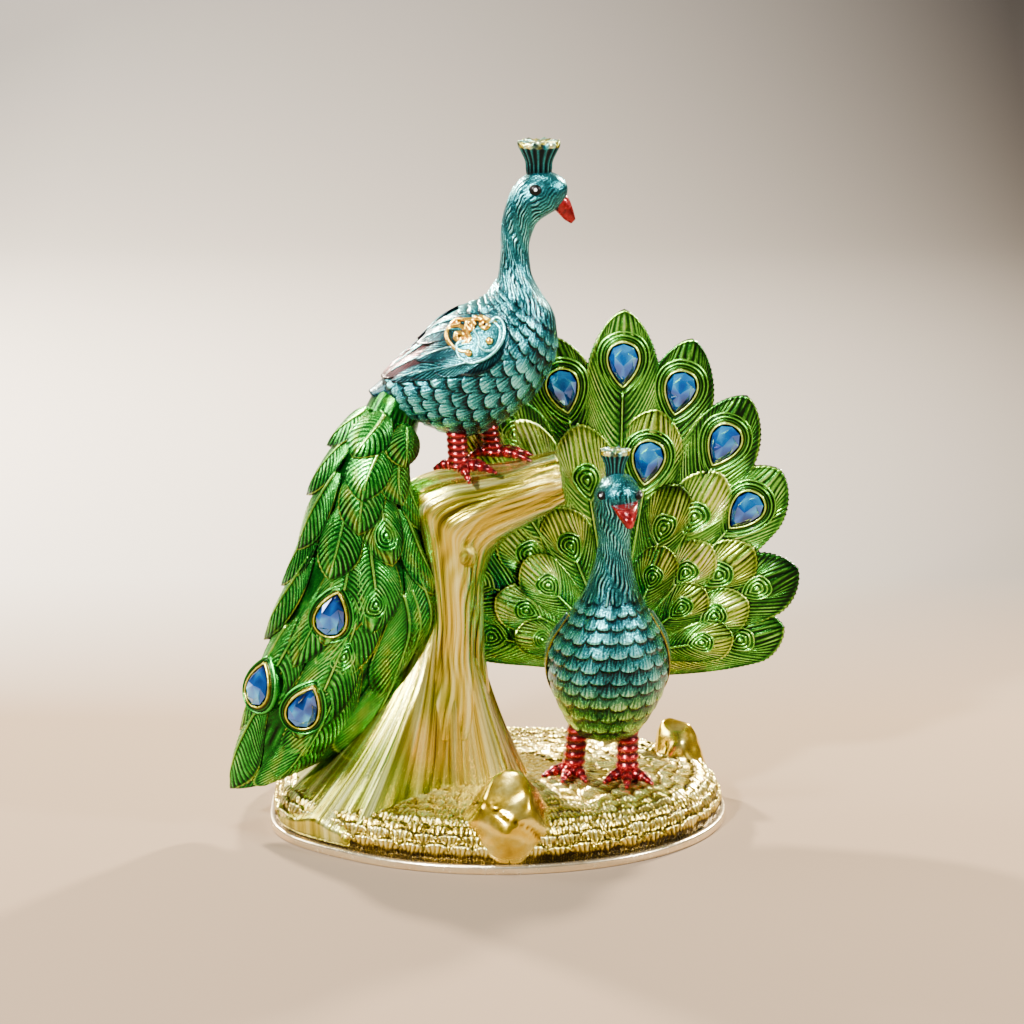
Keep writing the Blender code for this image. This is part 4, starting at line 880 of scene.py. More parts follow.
bird_enamel = enamel("bird enamel", TEALS, BELLY_GREENS, grain=2200.0, speck=0.90, glitter=0.00012)
upper_shell, upper = feathered(PERCHED, 20, 1.6, 9.4, 13, 4, 110, -3.0)
piece("upper_bird", [upper_shell], bird_enamel)


# Wings of the upper bird. Long quills laid over each other from the shoulder to the
# rump on both sides, teal with deep red enamel on their ends.
REDS = (0.010, 0.0004, 0.0005), (0.070, 0.0015, 0.0025), (0.22, 0.004, 0.007), (0.58, 0.035, 0.035)
WING_QUILLS = (
    # drawn root and tip, width, lift, how much of it is red
    ((-20.0, 179.0), (-40.2, 162.4), 6.0, 0.7, 1.0), ((-19.0, 174.5), (-39.0, 162.6), 7.0, 1.1, 1.0),
    ((-14.0, 170.5), (-36.5, 162.2), 5.0, 1.2, 0.0), ((-8.0, 172.5), (-31.0, 164.8), 6.2, 1.5, 0.0),
    ((-10.0, 184.5), (-25.5, 178.0), 6.2, 1.4, 0.0), ((-9.0, 181.5), (-27.5, 174.0), 6.6, 1.6, 0.0),
    ((-8.0, 178.0), (-28.0, 169.8), 6.6, 1.8, 0.0), ((-5.0, 173.5), (-21.5, 167.6), 6.2, 1.9, 0.0),
)


def quill_paint(red):
    """Paint whose tint is the red share over all but the root of the quill."""
    def paint(way, out, side):
        return red * eased((way - 0.02) / 0.05) + 0 * out, 0.55 + 0.40 * (red > 0.5) + 0 * way * out
    return paint


def wing_feather(side, root_end, tip_end, width, lift, sink, red, barbs, groove, seed):
    """Feather between two drawn points on the near side, or mirrored to the far one."""
    ends = nearest_place(upper, *root_end), nearest_place(upper, *tip_end)
    first, last = ((at, side * turn) for at, turn in ends)
    return feather(upper, first, last, width, lift, sink, long_outline, quill_paint(red), barbs, groove,
                   seed=seed, high=0.5)


wing_enamel = enamel("wing enamel", TEALS, REDS, speck=0.60)
shells = []
for side in (1, -1):
    for order, (root_end, tip_end, width, lift, red) in enumerate(WING_QUILLS):
        shells += wing_feather(side, root_end, tip_end, width, (lift, lift + 0.2), 2.0, red, 14, 0.18,
                               1.3 * order)
    shells += wing_feather(side, (1.5, 188.0), (-15.5, 168.5), 18, (0.8, 1.2), 3.0, 0.0, 26, 0.15, 0.0)
piece("upper_wings", shells, wing_enamel)


# Wing ornament. A plate of two lobes with a raised edge, with gilt scrolls above them and
# a gilt bead in each lobe, cast on the near wing.
PLATE = ((-1.9, 187.2), (0.1, 189.5), (1.8, 188.7), (2.8, 186.2), (2.6, 182.7), (1.3, 179.2), (-1.2, 175.7),
         (-4.3, 173.0), (-7.3, 171.3), (-10.3, 170.4), (-12.9, 171.3), (-14.8, 173.0), (-15.4, 175.7),
         (-14.6, 178.3), (-11.6, 179.4), (-10.4, 182.0), (-8.6, 184.6), (-5.0, 185.6))
PLATE_MIDDLE, PLATE_LIFT = (-6.0, 179.0), 1.3
ORNAMENT_SCALE, ORNAMENT_SHIFT = (0.93, 0.76), (0.9, -0.9)


def places(surface, x, z):
    """Places on a body under many drawn points: the nearest of a grid, then three Newton steps."""
    first = np.array([nearest_place(surface, a, b) for a, b in zip(x.ravel(), z.ravel())])
    at, turn = first[:, 0], first[:, 1]
    for _ in range(3):
        here = surface(at, turn)[:, ::2] - np.stack([x.ravel(), z.ravel()], 1)
        da = (surface(at + 0.01, turn)[:, ::2] - surface(at - 0.01, turn)[:, ::2]) / 0.02
        dt = (surface(at, turn + 0.01)[:, ::2] - surface(at, turn - 0.01)[:, ::2]) / 0.02
        scale = da[:, 0] * dt[:, 1] - da[:, 1] * dt[:, 0]
        scale = np.where(np.abs(scale) < 1.0, 1e6, scale)
        at = at - np.clip((here[:, 0] * dt[:, 1] - here[:, 1] * dt[:, 0]) / scale, -0.1, 0.1)
        turn = turn - np.clip((da[:, 0] * here[:, 1] - da[:, 1] * here[:, 0]) / scale, -0.1, 0.1)
    return at.reshape(x.shape), turn.reshape(x.shape)


def closed_line(points, count):
    """Smooth closed line through drawn points."""
    points = np.array(points, float)
    looped = np.concatenate([points[-2:], points, points[:3]])
    return curve(looped, 2 + np.linspace(0, len(points), count, endpoint=False))


def scroll(line, radii, height, sides=8):
    """Round wire that lies on the upper bird along a drawn line, with a radius at each end."""
    at, turn = places(upper, line[:, 0], line[:, 1])
    radius = np.interp(np.linspace(0, 1, len(line)), np.linspace(0, 1, len(radii)), radii)[:, None]
    along = np.gradient(line, axis=0)
    along /= np.linalg.norm(along, axis=1, keepdims=True)
    around = np.linspace(0, 2 * math.pi, sides, endpoint=False)
    middle = upper(at, turn, height)
    outward = upper(at, turn, height + 1.0) - middle
    across = np.cross(outward, np.stack([along[:, 0], 0 * along[:, 0], along[:, 1]], 1))
    across /= np.linalg.norm(across, axis=1, keepdims=True)
    ring = across[:, None] * np.cos(around)[:, None] + outward[:, None] * np.sin(around)[:, None]
    relief = np.clip(0.55 + 0.4 * np.sin(around), 0, 1)
    return shell(metres(middle[:, None] + radius[..., None] * ring), relief=relief, tint=0.0, shade=0.0)


def bead(x, z, radius, height):
    """Half round bead on the upper bird."""
    place = nearest_place(upper, x, z)
    middle = upper(np.array(place[0]), np.array(place[1]), height)
    turn = np.linspace(0, 2 * math.pi, 24, endpoint=False)
    rise = np.linspace(-0.4, math.pi / 2, 10)[:-1, None]
    out = np.stack([np.cos(turn) * np.cos(rise), -np.sin(rise) + 0 * turn, np.sin(turn) * np.cos(rise)], -1)
    ends = metres(np.array([middle, middle + (0, -radius, 0)]))
    marks = 0.4 + 0.5 * np.sin(rise)
    return shell(metres(middle + radius * out), ends=ends, relief=marks, tint=0.0, shade=0.0)


def settled(points):
    """Drawn points of the ornament, drawn in about the plate's middle and moved a little."""
    return (np.array(points, float) - PLATE_MIDDLE) * ORNAMENT_SCALE + PLATE_MIDDLE + ORNAMENT_SHIFT


def wires(lines):
    """Scrolls on the upper bird, each from drawn points, the radii along it and its height."""
    return [scroll(curve(settled(points), np.linspace(0, len(points) - 1, 8 * len(points))), radii, height)
            for points, radii, height in lines]


line = closed_line(settled(PLATE), 72)
far = np.array([1.0, 1.0, 0.97, 0.90, 0.75, 0.5, 0.25])[:, None, None]
drawn = np.array(PLATE_MIDDLE) + (line - PLATE_MIDDLE) * far
at, turn = places(upper, drawn[..., 0], drawn[..., 1])
height = np.array([-1.6, 0.5, 0.9, 0.8, 0.9, 1.0, 1.0])[:, None] + PLATE_LIFT
stipple = 0.10 * np.sin(2.6 * drawn[..., 0]) * np.sin(2.9 * drawn[..., 1])
marks = np.clip(np.array([0.0, 0.2, 0.5, 0.55, 0.6, 0.65, 0.6])[:, None] + stipple, 0, 1)
shells = [shell(metres(upper(at, turn, height + stipple)), relief=marks, tint=0.0, shade=0.30)]
shells += wires([
    ([(-4.0, 186.0), (-1.9, 187.4), (0.1, 189.3), (1.8, 188.5), (2.6, 186.2), (2.4, 182.7), (1.1, 179.3),
      (-1.3, 175.9), (-4.3, 173.2), (-7.3, 171.6), (-10.3, 170.7), (-12.8, 171.6), (-14.5, 173.2),
      (-15.1, 175.7), (-14.3, 178.0), (-12.0, 179.0)], (0.5, 0.62, 0.62, 0.62, 0.5), 2.4),
    ([(-9.4, 184.0), (-7.5, 181.8), (-6.8, 179.6), (-6.9, 177.9), (-5.5, 176.5), (-3.8, 176.0), (-1.8, 176.9),
      (0.1, 179.6), (1.0, 182.6), (0.9, 185.6), (-0.6, 187.2)], (0.45, 0.55, 0.55, 0.4), 2.35),
])
piece("wing_lobes", shells, bird_enamel)


def curl(x, z, radius, start, turns):
    """Points of a spiral that winds in to a fifth of its radius."""
    way = np.linspace(0, 1, int(10 * abs(turns)) + 2)
    reach, heading = radius * (1 - 0.8 * way), start + 2 * math.pi * turns * way
    return list(zip(x + reach * np.cos(heading), z + reach * np.sin(heading)))


shells = wires([
    ([(-10.4, 176.0), (-13.4, 175.0), (-16.4, 176.2), (-18.4, 178.6), (-18.6, 181.4), (-16.8, 183.6),
      (-14.0, 184.4), (-11.4, 183.0), (-10.2, 180.4), (-11.4, 178.2)], (0.6, 0.95, 1.0, 0.7), 1.9),
    (curl(-14.0, 180.0, 2.5, -1.2, 1.2), (0.7, 1.0, 0.9), 2.0),
    (curl(-4.8, 186.0, 2.3, 2.6, -1.2), (0.7, 0.95, 0.8), 2.4),
    (curl(-9.8, 184.6, 2.0, 0.4, 1.1), (0.8, 1.0, 0.9), 2.3),
    ([(-17.4, 184.4), (-14.6, 186.6), (-11.4, 187.0), (-8.4, 187.6), (-5.6, 188.8), (-2.6, 188.0),
      (0.2, 187.4)], (0.6, 1.0, 1.0, 0.6), 1.8),
])
beads = ((-2.4, 178.6, 1.4, 2.6), (-9.4, 174.6, 1.4, 2.6), (-13.0, 183.0, 1.1, 1.8), (-6.8, 185.0, 1.2, 2.2),
         (-8.0, 182.6, 1.0, 2.3))
shells += [bead(*place) for place in beads]
ornament_colours = (0.03, 0.010, 0.0005), (0.15, 0.050, 0.001), (0.50, 0.22, 0.004), (0.95, 0.56, 0.055)
ornament_gilt = gilding("ornament gilding", ornament_colours, 1200.0, 0.14, 0.00004)
piece("wing_scrolls", shells, ornament_gilt)


# Beaks and eyes. Red enamelled beaks cast with the heads, and eyes painted black with
# a white glint.
def limb(rows, steps, sides, lift=None):
    """Shell of a body between its first and last drawn rows, with an optional lift."""
    at = np.linspace(0, len(rows) - 1, steps)[:, None]
    turn = np.linspace(0, 2 * math.pi, sides, endpoint=False)[None, :]
    raised = lift(at, turn) if lift else 0.0 * at * turn
    marks = np.clip(0.56 + raised + 0.08 * np.sin(3 * turn + 2 * at), 0, 1)
    return shell(metres(body(rows)(at, turn + 0 * at, raised)), relief=marks, tint=0.0, shade=0.0)


def eyeball(middle, heading, tall, wide):
    """Flattened ball with a value that is white on a small spot above its middle."""
    turn = np.linspace(0, 2 * math.pi, 40, endpoint=False)
    rise = np.linspace(0.0, math.pi / 2, 20)[:-1, None]
    middle, heading = np.array(middle), np.array(heading)
    side = np.cross(heading, (0, 0, 1.0))
    up = np.cross(side, heading)
    a, b = wide * np.cos(turn) * np.cos(rise), tall * np.sin(turn) * np.cos(rise)
    out = 0.6 * wide * np.sin(rise) + 0 * turn
    points = middle + a[..., None] * side + b[..., None] * up + out[..., None] * heading
    white = (np.hypot(a + 0.05 * wide, b - 0.15 * tall) < 0.24 * wide) * 1.0
    ends = metres(np.array([middle - 0.5 * heading, middle + 0.6 * wide * heading]))
    return shell(metres(points), ends=ends, relief=white)


beak_reds = (*REDS[:2], (0.27, 0.006, 0.008), (0.78, 0.10, 0.08))
beak_enamel = enamel("beak enamel", beak_reds, grain=900.0, metal=0.60, speck=0.5)
upper_beak = ((19.5, 229.6, 17.0, 224.0, 3.2, -8), (24.0, 227.0, 19.8, 221.8, 2.9, -8),
              (26.0, 222.6, 23.0, 218.6, 1.9, -8), (27.0, 218.8, 25.4, 217.2, 0.8, -8))
lower_beak = ((37.6, 121.6, 49.0, 122.4, 6.0, -21), (39.8, 120.8, 48.6, 121.6, 5.4, -27),
              (42.0, 118.2, 48.2, 119.0, 4.0, -31.5), (44.6, 115.4, 47.0, 115.8, 1.2, -34.6))
piece("beaks", [limb(upper_beak, 30, 40), limb(lower_beak, 30, 40)], beak_enamel)

eye_paint, shader, start = new_finish("eye paint", specular_ior_level=0.15, roughness=0.30)
black_and_white = start.carried("relief").ramp((0.40, (0.001, 0.001, 0.001)), (0.60, (0.9, 0.9, 0.88)))
wired(start, shader, base_color=black_and_white)
eyes = (
    # middle, way it looks, half height and half width
    ((13.0, -14.4, 230.2), (0.0, -1.0, 0.0), 2.0, 2.2), ((13.0, -1.6, 230.2), (0.0, 1.0, 0.0), 2.0, 2.2),
    ((36.2, -24.6, 124.4), (-0.55, -0.83, 0.06), 1.7, 1.7),
    ((49.2, -23.4, 124.2), (0.8, -0.6, 0.06), 1.7, 1.7),
)
piece("eyes", [eyeball(*eye) for eye in eyes], eye_paint)


# Crests. A comb on each crown that opens from a waist to a thick blunt lip, fluted
# along its height, teal below and gilt along the top.
def crest(x, y, z, spread, height):
    """Comb whose half width is read from a profile, fluted by a cosine, with a thick uneven lip."""
    turn = np.linspace(0, 2 * math.pi, 112, endpoint=False)[None, :]
    share = np.array([-0.25, -0.1, 0.0, 0.08, 0.16, 0.24, 0.32, 0.40, 0.48, 0.56, 0.64, 0.71, 0.77, 0.82,
                      0.86, 0.90, 0.94, 0.97, 0.99])[:, None]
    wide = np.interp(share, (-0.25, 0.30, 0.45, 0.62, 0.80, 0.84, 0.93, 0.99),
                     (0.60, 0.60, 0.66, 0.78, 0.92, 1.0, 1.0, 0.94))
    flutes = np.cos(16 * turn + 0.8 * np.sin(3 * turn))
    fluted = eased((share + 0.1) / 0.3) * (1 - 0.75 * eased((share - 0.78) / 0.08))
    chipped = np.sin(5 * turn + 1) * np.sin(11 * turn) * eased((share - 0.8) / 0.1)
    reach = spread / 2 * wide * (1 + 0.075 * flutes * fluted + 0.05 * chipped)
    tall = z + height * share + 0.5 * chipped + 0.5 * np.sin(turn) * eased(share)
    grid = np.stack([x + reach * np.cos(turn), y + 0.50 * reach * np.sin(turn) + 0 * share, tall], -1)
    top = np.array([x, y, z + height * 0.96])
    inward = np.array([0.82, 0.55, 0.28])[:, None, None]
    bumps = 0.25 * np.sin(9 * turn) * np.sin(7.0 * inward[..., 0])
    grid = np.concatenate([grid, top + (grid[-1] - top) * inward + bumps[..., None] * (0, 0, 1.0)])
    lip = (0.45 + 0.3 * np.sin(5 * turn)) * eased((share - 0.8) / 0.06)
    marks = np.concatenate([np.clip(0.22 + 0.34 * flutes * fluted + lip, 0, 1), 0.75 + bumps])
    lip_gilt = (0.55 + 0.5 * np.sin(4 * turn) * np.sin(7 * turn + 1)) * eased((share - 0.80) / 0.06)
    gilt = np.concatenate([lip_gilt, 0.55 + 0.4 * np.sin(6 * turn + 4 * inward[..., 0])])
    return shell(metres(grid), relief=marks, tint=np.clip(gilt, 0, 1), shade=0.1)


crest_enamel = enamel("crest enamel", TEALS)
crests = [crest(14.3, -8, 234.8, 14.4, 11.3), crest(40.9, -17.6, 129.6, 10.4, 9.6)]
piece("crests", crests, crest_enamel)


# Lower bird. It stands on the grass in front of its spread tail, in the same teal
# scales, greener under the belly, with the edges of its folded wings gilt.
STANDING = (
    (35, 30.5, 44, 30.5, 6, -8), (27, 34.5, 50.5, 35, 14, -7.5), (22, 42.5, 56, 43, 20, -6),
    (18.8, 51, 59.4, 51, 23.5, -5), (18.3, 58.5, 60, 58.5, 24, -5), (20, 66.5, 58.4, 67, 22.5, -6.5),
    (24.2, 74.5, 54.8, 75, 18.5, -9.5), (28.4, 82.2, 51, 82.8, 14.2, -12.2),
    (31.9, 90.2, 48.6, 90.4, 10.8, -14.2), (34.3, 98.6, 47, 98.8, 8.4, -15.6),
    (35.3, 105.6, 46.4, 105.8, 7.2, -16.6), (34.7, 111.6, 47.4, 111.8, 7.6, -17.4),
    (33.7, 118, 49.7, 118.4, 8.9, -18.2), (33.9, 124, 49.9, 124.2, 9.4, -18.2),
    (36.4, 128.2, 47.4, 128.4, 7.8, -17.8), (40, 130.8, 43.4, 130.8, 3, -17.4),
)
# Root and tip, as places along the body and turns off its side, then width, lift and barbs
FOLDED_WING = (((6.4, 0.10), (1.7, 0.55), 17, (0.6, 1.4), 26), ((5.4, 0.5), (2.2, 1.0), 12, (0.8, 1.8), 22))
lower_shell, lower = feathered(STANDING, 18, 1.0, 7.6, 11, 4, 90, 4.6)
piece("lower_bird", [lower_shell], bird_enamel)


def folded_wing_paint(way, out, side):
    """Gilt over the wing's outer edge."""
    return 0.15 + 0.75 * eased((out - 0.5) / 0.3) + 0 * way, 0 * way * out


shells = []
for side, middle in ((-1, math.pi), (1, 0.0)):
    for root_end, tip_end, width, lift, barbs in FOLDED_WING:
        first, last = ((at, middle + side * turn) for at, turn in (root_end, tip_end))
        shells += feather(lower, first, last, width, lift, 3, long_outline, folded_wing_paint, barbs, 0.24)
piece("lower_wings", shells, enamel("folded wing enamel", TEALS))


# Legs. Stout ringed shanks with spread toes that end in claws, cast with the birds and
# enamelled deep red.
def leg(ankle, hip, radius, toes):
    """Shank with rings of a squared cosine, and toes whose radius swells at each joint."""
    ankle, hip = np.array(ankle, float), np.array(hip, float)
    turn = np.linspace(0, 2 * math.pi, 32, endpoint=False)[None, :, None]
    share = np.linspace(0, 1, 60)[:, None, None]
    rings = np.cos(2 * math.pi * 6 * share)
    middle = ankle + (hip - ankle) * share
    reach = radius * (0.97 + 0.045 * rings + 0.10 * (1 - share) ** 6)
    grid = middle + reach * (np.array([1.0, 0, 0]) * np.cos(turn) + np.array([0, 1.0, 0]) * np.sin(turn))
    made = [shell(metres(grid), relief=np.clip(0.52 + 0.22 * rings[..., 0], 0, 1), tint=0.0, shade=0.0)]
    for heading, length, drop in toes:
        way = np.array([math.cos(math.radians(heading)), math.sin(math.radians(heading)), 0.0])
        claw = ankle + way * length + (0, 0, -1.2 - drop)
        path = [ankle - way * 0.5, ankle + way * length * 0.5 + (0, 0, 0.4 - 0.4 * drop), claw]
        girths = radius * 0.62, radius * 0.52, radius * 0.16
        rows = curve(np.column_stack([path, girths]), np.linspace(0, 2, 44))
        along = np.gradient(rows[:, :3], axis=0)
        along /= np.linalg.norm(along, axis=1, keepdims=True)
        across = np.cross(along, (0, 0, 1.0))
        across /= np.linalg.norm(across, axis=1, keepdims=True)
        up = np.cross(across, along)
        joints = np.cos(np.linspace(0, 2 * math.pi * 5, 44))[:, None, None]
        reach = rows[:, 3][:, None, None] * (1 + 0.07 * joints)
        around = np.linspace(0, 2 * math.pi, 16, endpoint=False)[None, :, None]
        grid = rows[:, None, :3] + reach * (across[:, None] * np.cos(around) + up[:, None] * np.sin(around))
        marks = np.clip(0.52 + 0.20 * joints[..., 0], 0, 1)
        made.append(shell(metres(grid), relief=marks, tint=0.0, shade=0.0))
    return made


leg_enamel = enamel("leg enamel", REDS, grain=1500.0, metal=0.70, speck=0.25)
# Each toe is a heading in degrees, a length and how far it drops
shells = leg((-13.5, -14, 132.6), (-14.5, -13, 146), 3.7,
             ((-20, 14, 0.4), (18, 11, 0.2), (-65, 9, 3.2), (170, 9, 0.6)))
shells += leg((-1.5, -2, 134.6), (-4.0, -2.5, 148), 3.5,
              ((-28, 15, 0.6), (6, 14, 0.8), (40, 8, 2.4), (190, 9, 0.8)))
piece("upper_legs", shells, leg_enamel)
shells = leg((26.8, -12, 20.4), (28.8, -11, 38), 4.0,
             ((-158, 12, 0.2), (-112, 11, 0.4), (-66, 11, 0.4), (80, 8, 0.6)))
shells += leg((46.0, -15, 20.0), (46.2, -12, 38), 4.0,
              ((-140, 11, 0.2), (-92, 12, 0.5), (-42, 12, 0.4), (80, 8, 0.6)))
piece("lower_legs", shells, leg_enamel)


# Spread tail of the lower bird. A thin cast sheet with overlapping eye feathers on its
# front and plain combed backs, enamelled from deep green to lime and rubbed with gilt.
FAN_X, FAN_Y, FAN_Z, FAN_REACH, FAN_WALL = 42.5, 18.0, 55.0, 66.0, 5.0
SHEET_DROP, FEATHER_DROP = 9.0, 7.0    # how far the sheet and the lowest feathers spring below the root
# Angle from level right, reach from the fan's root, and width
FAN_OUTER = (
    (10.5, 61.5, 21), (27.2, 73.0, 25), (50.0, 90.6, 28), (64.4, 106.6, 27), (77.2, 119.4, 26),
    (89.0, 127.0, 27), (101.2, 119.5, 27), (114.0, 107.0, 28), (127.0, 88.0, 26), (148.0, 74.0, 26),
    (166.0, 62.0, 20),
)
# The same, and the tier
FAN_INNER = (
    (81.4, 92.4, 24, 1), (99.4, 87.4, 22, 1), (112.5, 96.0, 21, 1), (62.0, 78.0, 22, 1),
    (121.0, 103.0, 20, 1), (129.0, 66.0, 20, 1), (40.0, 64.0, 20, 1), (71.0, 68.0, 19, 2),
    (112.0, 60.0, 19, 2), (24.0, 52.0, 18, 2), (52.0, 54.0, 18, 2), (151.0, 50.0, 17, 2),
    (132.0, 50.0, 17, 3), (11.0, 43.0, 16, 3), (39.0, 41.0, 16, 3), (67.0, 45.0, 16, 3), (165.0, 38.0, 14, 3),
)
# Angle and tier of the feathers with stones, and how far a stone's middle is from the tip
FAN_STONES = ((50.0, 0), (64.4, 0), (77.2, 0), (89.0, 0), (101.2, 0), (81.4, 1))
STONE_INSET = 19.6
STONE_EYE, OUTER_EYE = (STONE_INSET, 10.2, 7.6), (17.5, 5.6, 4.4)
LIMES = (0.0005, 0.010, 0.0005), (0.016, 0.145, 0.008), (0.22, 0.66, 0.050), (0.86, 1.0, 0.36)
FAN_GILT = (0.003, 0.010, 0.000), (0.13, 0.24, 0.008), (0.62, 0.80, 0.09), (0.98, 1.0, 0.52)


def fan_point(x, z, lift=0.0):
    """Front of the fan's sheet: dished a little, and swept forward to meet the stump."""
    across = (x - FAN_X) / FAN_REACH
    y = FAN_Y - 5.0 * across ** 2 - 10.0 * eased((18.0 - x) / 34.0)
    return np.stack([x + 0 * lift, y - FAN_WALL / 2 - lift, z + 0 * x + 0 * lift], -1)


def fan_place(angle, reach):
    """Drawn x and z at an angle and a reach from the fan's root."""
    return FAN_X + reach * math.cos(math.radians(angle)), FAN_Z + reach * math.sin(math.radians(angle))


def spoon_outline(share):
    """Half width of a feather that is widest at 0.78 and a little more pointed than an ellipse."""
    lower = 0.30 + 0.70 * np.sin(math.pi / 2 * np.clip(share / 0.78, 0, 1))
    return lower * np.clip(1 - np.clip((share - 0.78) / 0.22, 0, 1) ** 1.9, 0, 1) ** 0.68


def outer_paint(way, out, side):
    """Dark at the tip, lime in the middle, with gilt patches beside the shaft on the left."""
    patch = eased((way - 0.22) / 0.1) * eased((0.62 - way) / 0.12) * eased((0.75 - out) / 0.3) * (side < 0)
    dark = 0.55 * eased((way - 0.72) / 0.12) * (1 - 0.6 * out) - 0.12 * eased((0.7 - way) / 0.2)
    return 0.02 + 0.75 * patch, dark


def inner_paint(way, out, side):
    """Gilt stripes over the tip and green beside the eye."""
    tint = 0.62 * eased((way - 0.72) / 0.12) + 0.18 * (side < 0)
    return tint, 0.06 - 0.20 * eased((way - 0.7) / 0.1) + 0 * out


angles = np.linspace(7.0, 168.0, 60)
tips = np.array([(a, r) for a, r, w in FAN_OUTER])
reach = np.interp(angles, tips[:, 0], tips[:, 1]) * 0.80
share = np.linspace(0.04, 1.0, 24)[:, None]
x = FAN_X + np.cos(np.radians(angles)) * reach * share
z = FAN_Z - SHEET_DROP + np.sin(np.radians(angles)) * (reach + SHEET_DROP) * share
front = fan_point(x, z, 0.0 * x - 0.3)
back = fan_point(x, z, 0.0 * x - FAN_WALL * np.interp(share, (0, 0.7, 1.0), (1.25, 1.0, 0.5)))
rays = np.cos(np.radians(angles) * 60)
marks = np.concatenate([0.25 + 0.15 * rays + 0 * share, 0.35 + 0.3 * rays + 0 * share[::-1]], 0)
around_sheet = np.concatenate([front, back[::-1]], 0).transpose(1, 0, 2)
shells = [shell(metres(around_sheet), relief=marks.T, tint=0.0, shade=0.2)]
fan_enamel = enamel("fan enamel", LIMES, FAN_GILT)
rump = ((30, 50, 55, 50, 8, 6), (25, 57, 60, 57, 13, 6), (26, 66, 59, 66, 12, 7), (33, 75, 52, 75, 7, 8))
shells.append(limb(rump, 24, 64, lambda at, turn: 0.2 * np.cos(24 * turn + 2 * at)))
piece("fan_sheet", shells, fan_enamel)

shells = []
for order, (angle, reach, width) in enumerate(FAN_OUTER):
    level = 0.5 * (order % 2)
    gem = (angle, 0) in FAN_STONES
    low = FEATHER_DROP * eased((abs(angle - 90) - 60) / 20)
    root_place = np.subtract(fan_place(angle, 8.0), (0, low))
    shells += feather(fan_point, root_place, fan_place(angle, reach), width, (0.3 + level, 0.2 + level),
                      FAN_WALL + 0.9, spoon_outline, outer_paint, barbs=int(reach * 0.52), groove=0.34,
                      eye=STONE_EYE if gem else OUTER_EYE, embossed=not gem, back=0.5, seed=1.1 * order)
piece("fan_outer_feathers", shells, fan_enamel)

shells = []
for order, (angle, reach, width, tier) in enumerate(FAN_INNER):
    lift = (0.6 + LEAF_STEP * tier, 0.4 + LEAF_STEP * tier)
    gem = (angle, tier) in FAN_STONES
    eye = STONE_EYE if gem else (0.22 * reach + 3.0, 0.30 * width, 0.225 * width)
    shells += feather(fan_point, fan_place(angle, reach * 0.25), fan_place(angle, reach), width, lift, 2.0,
                      spoon_outline, inner_paint, barbs=int(11 + reach * 0.28), groove=0.34, eye=eye,
                      embossed=not gem, seed=1.9 * order)
piece("fan_inner_feathers", shells, fan_enamel)


# Stones. Pear cut glass backed with foil, six in the spread tail and three in the
# draped one, each glued into a cast cup with a thin gilt lip and ridges round it.
STONE_LENGTH, STONE_WIDTH, STONE_CROWN, STONE_SEAT, STONE_GAP = 0.0148, 0.0102, 0.0025, 0.0019, 0.0003
BEZEL_HEIGHT = 0.0030
PEAR_WIDEST = 0.7984       # the most that a pear's width comes to
TRAIN_STONES = ((-57.2, 83.6), (-67.2, 49.6), (-81.2, 55.0))


def pear(sides, grow=0.0):
    """Outline of a stone, point first, moved out with mitred corners."""
    turn = np.linspace(0, 2 * math.pi, sides, endpoint=False)
    wide = pear_width(turn) * (STONE_WIDTH / 2 / PEAR_WIDEST)
    points = np.stack([wide, -STONE_LENGTH / 2 * np.cos(turn)], 1)
    run = np.roll(points, -1, 0) - points
    normal = np.stack([run[:, 1], -run[:, 0]], 1) / np.linalg.norm(run, axis=1, keepdims=True)
    before = np.roll(normal, 1, 0)
    spread = 1.0 + np.clip((normal * before).sum(1, keepdims=True), -0.5, 1.0)
    return points + grow * (normal + before) / spread


def stacked(place, rings):
    """Grid in metres from outlines at heights, in a stone's frame of centre, across, along and out."""
    centre, across, along, out = place
    return np.stack([centre + line[:, :1] * across + line[:, 1:] * along + height * out
                     for line, height in rings])


def frame_on(surface, place, toward, height):
    """Frame of a stone: its centre over a surface, its round end along a heading."""
    place, step = np.array(place, float), 0.02
    here = metres(surface(place[0], place[1], np.array(0.0)))
    first = metres(surface(place[0] + step, place[1], np.array(0.0))) - here
    second = metres(surface(place[0], place[1] + step, np.array(0.0))) - here
    outward = metres(surface(place[0], place[1], np.array(1.0))) - here
    out = np.cross(first, second)
    out *= np.sign(out @ outward) / np.linalg.norm(out)
    along = first * toward[0] + second * toward[1]
    along -= out * (along @ out)
    along /= np.linalg.norm(along)
    return here + out * height, np.cross(along, out), along, out


stone_frames = {}
reaches = {(angle, 0): reach for angle, reach, width in FAN_OUTER}
reaches.update({(angle, tier): reach for angle, reach, width, tier in FAN_INNER})
for order, (angle, tier) in enumerate(FAN_STONES):
    heading = math.cos(math.radians(angle)), math.sin(math.radians(angle))
    place = fan_place(angle, reaches[angle, tier] - STONE_INSET)
    height = BEZEL_HEIGHT + tier * LEAF_STEP / 1000
    stone_frames[f"fan_stone_{order + 1}"] = frame_on(fan_point, place, heading, height)
for order, (x, z) in enumerate(TRAIN_STONES):
    place = nearest_place(body(TRAIN), x, z)
    height = BEZEL_HEIGHT + LEAF_STEP / 1000
    stone_frames[f"tail_stone_{order + 1}"] = frame_on(body(TRAIN), place, (1.0, 0.0), height)


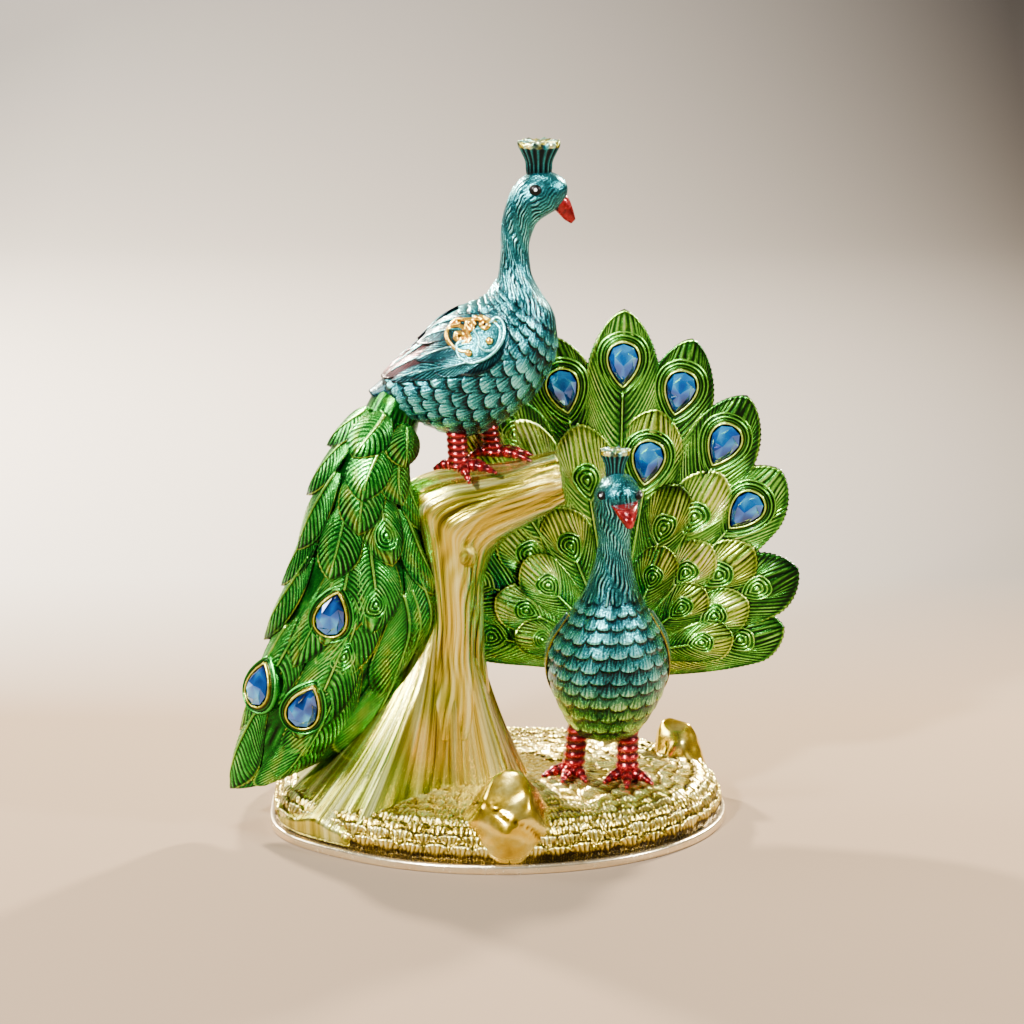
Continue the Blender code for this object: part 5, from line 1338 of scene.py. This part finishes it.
def collar(place, ridges, foot):
    """Cup with a rounded lip at the stone's edge, and cosine ridges that fall to a buried foot.

    Its rows are a distance out from the stone's pocket, a height and a mark, in millimetres.
    """
    reach = np.linspace(0, 1, 5 * ridges + 1)[1:]
    swell = 0.5 + 0.5 * np.cos(2 * math.pi * ridges * reach)
    drop = np.interp(reach, (0, 1), (-1.1, -1.7)) + 0.75 * swell
    rows = [(0.0, -STONE_SEAT * 1000 - 0.3, 0.2), (0.0, -0.5, 0.2), (0.05, -0.1, 0.6), (0.25, 0.12, 1.0),
            (0.55, 0.1, 0.9), (0.85, -0.35, 0.4), (1.05, -1.3, 0.0)]
    rows += [(1.25 + 1.35 * ridges * r, d, 0.1 + 0.8 * s) for r, d, s in zip(reach, drop, swell)]
    rows += [(1.35 * ridges + 1.7, -2.6, 0.5), (1.35 * ridges + 1.4, -foot, 0.85)]
    grid = stacked(place, [(pear(56, STONE_GAP + out / 1000), height / 1000) for out, height, mark in rows])
    marks = np.array([mark for out, height, mark in rows])[:, None]
    tint = np.array([0.75 * (0.04 < out < 1.1) for out, height, mark in rows])[:, None]
    return shell(grid, relief=0.72 * marks, tint=tint, shade=0.0)


def cut_stone(place):
    """Flat back, girdle at the cup's edge, a ring of side facets and ten that meet in the middle."""
    outline = pear(10)
    turned = (outline + np.roll(outline, -1, 0)) / 2
    rings = [(outline * 0.90, -STONE_SEAT), (outline, -0.35 * STONE_SEAT), (outline, 0.0),
             (turned * 0.72, 0.66 * STONE_CROWN)]
    grid = stacked(place, rings)
    ends = (place[0] - STONE_SEAT * place[3], place[0] + STONE_CROWN * place[3])
    # Painted reflections: lighter towards the round end and on the crown, a glint on every third crown facet
    high = outline[:, 1] / STONE_LENGTH + 0.5
    painted_glint_facets = np.arange(10) % 3 == 0
    painted_reflection = np.stack([0.1 + 0 * high, 0.15 + 0.3 * high, 0.15 + 0.5 * high, 0.2 + 0.4 * high + 0.35 * painted_glint_facets])
    return shell(grid, ends=ends, relief=painted_reflection)


stone_glass, shader, start = new_finish("blue glass", metallic=0.75, roughness=0.04, coat_weight=1.0,
                                        coat_roughness=0.02, coat_ior=1.7)
# The glass's blues follow these painted reflections, broken up by noise
depth = start.noise(160.0, 1.0) * 0.5 - 0.20 + start.carried("relief") * 0.9
blues = depth.ramp((0.22, (0.0004, 0.007, 0.07)), (0.50, (0.002, 0.10, 0.46)), (0.85, (0.04, 0.50, 0.92)))
wired(start, shader, base_color=blues)
for name, place in stone_frames.items():
    piece(name + "_cut", [cut_stone(place)], stone_glass, smooth=False, node=name)
fan_cups = [collar(place, 2, 3.6) for name, place in stone_frames.items() if name.startswith("fan")]
tail_cups = [collar(place, 1, 5.0) for name, place in stone_frames.items() if name.startswith("tail")]
piece("fan_stone_cups", fan_cups, fan_enamel)
piece("tail_stone_cups", tail_cups, train_enamel)
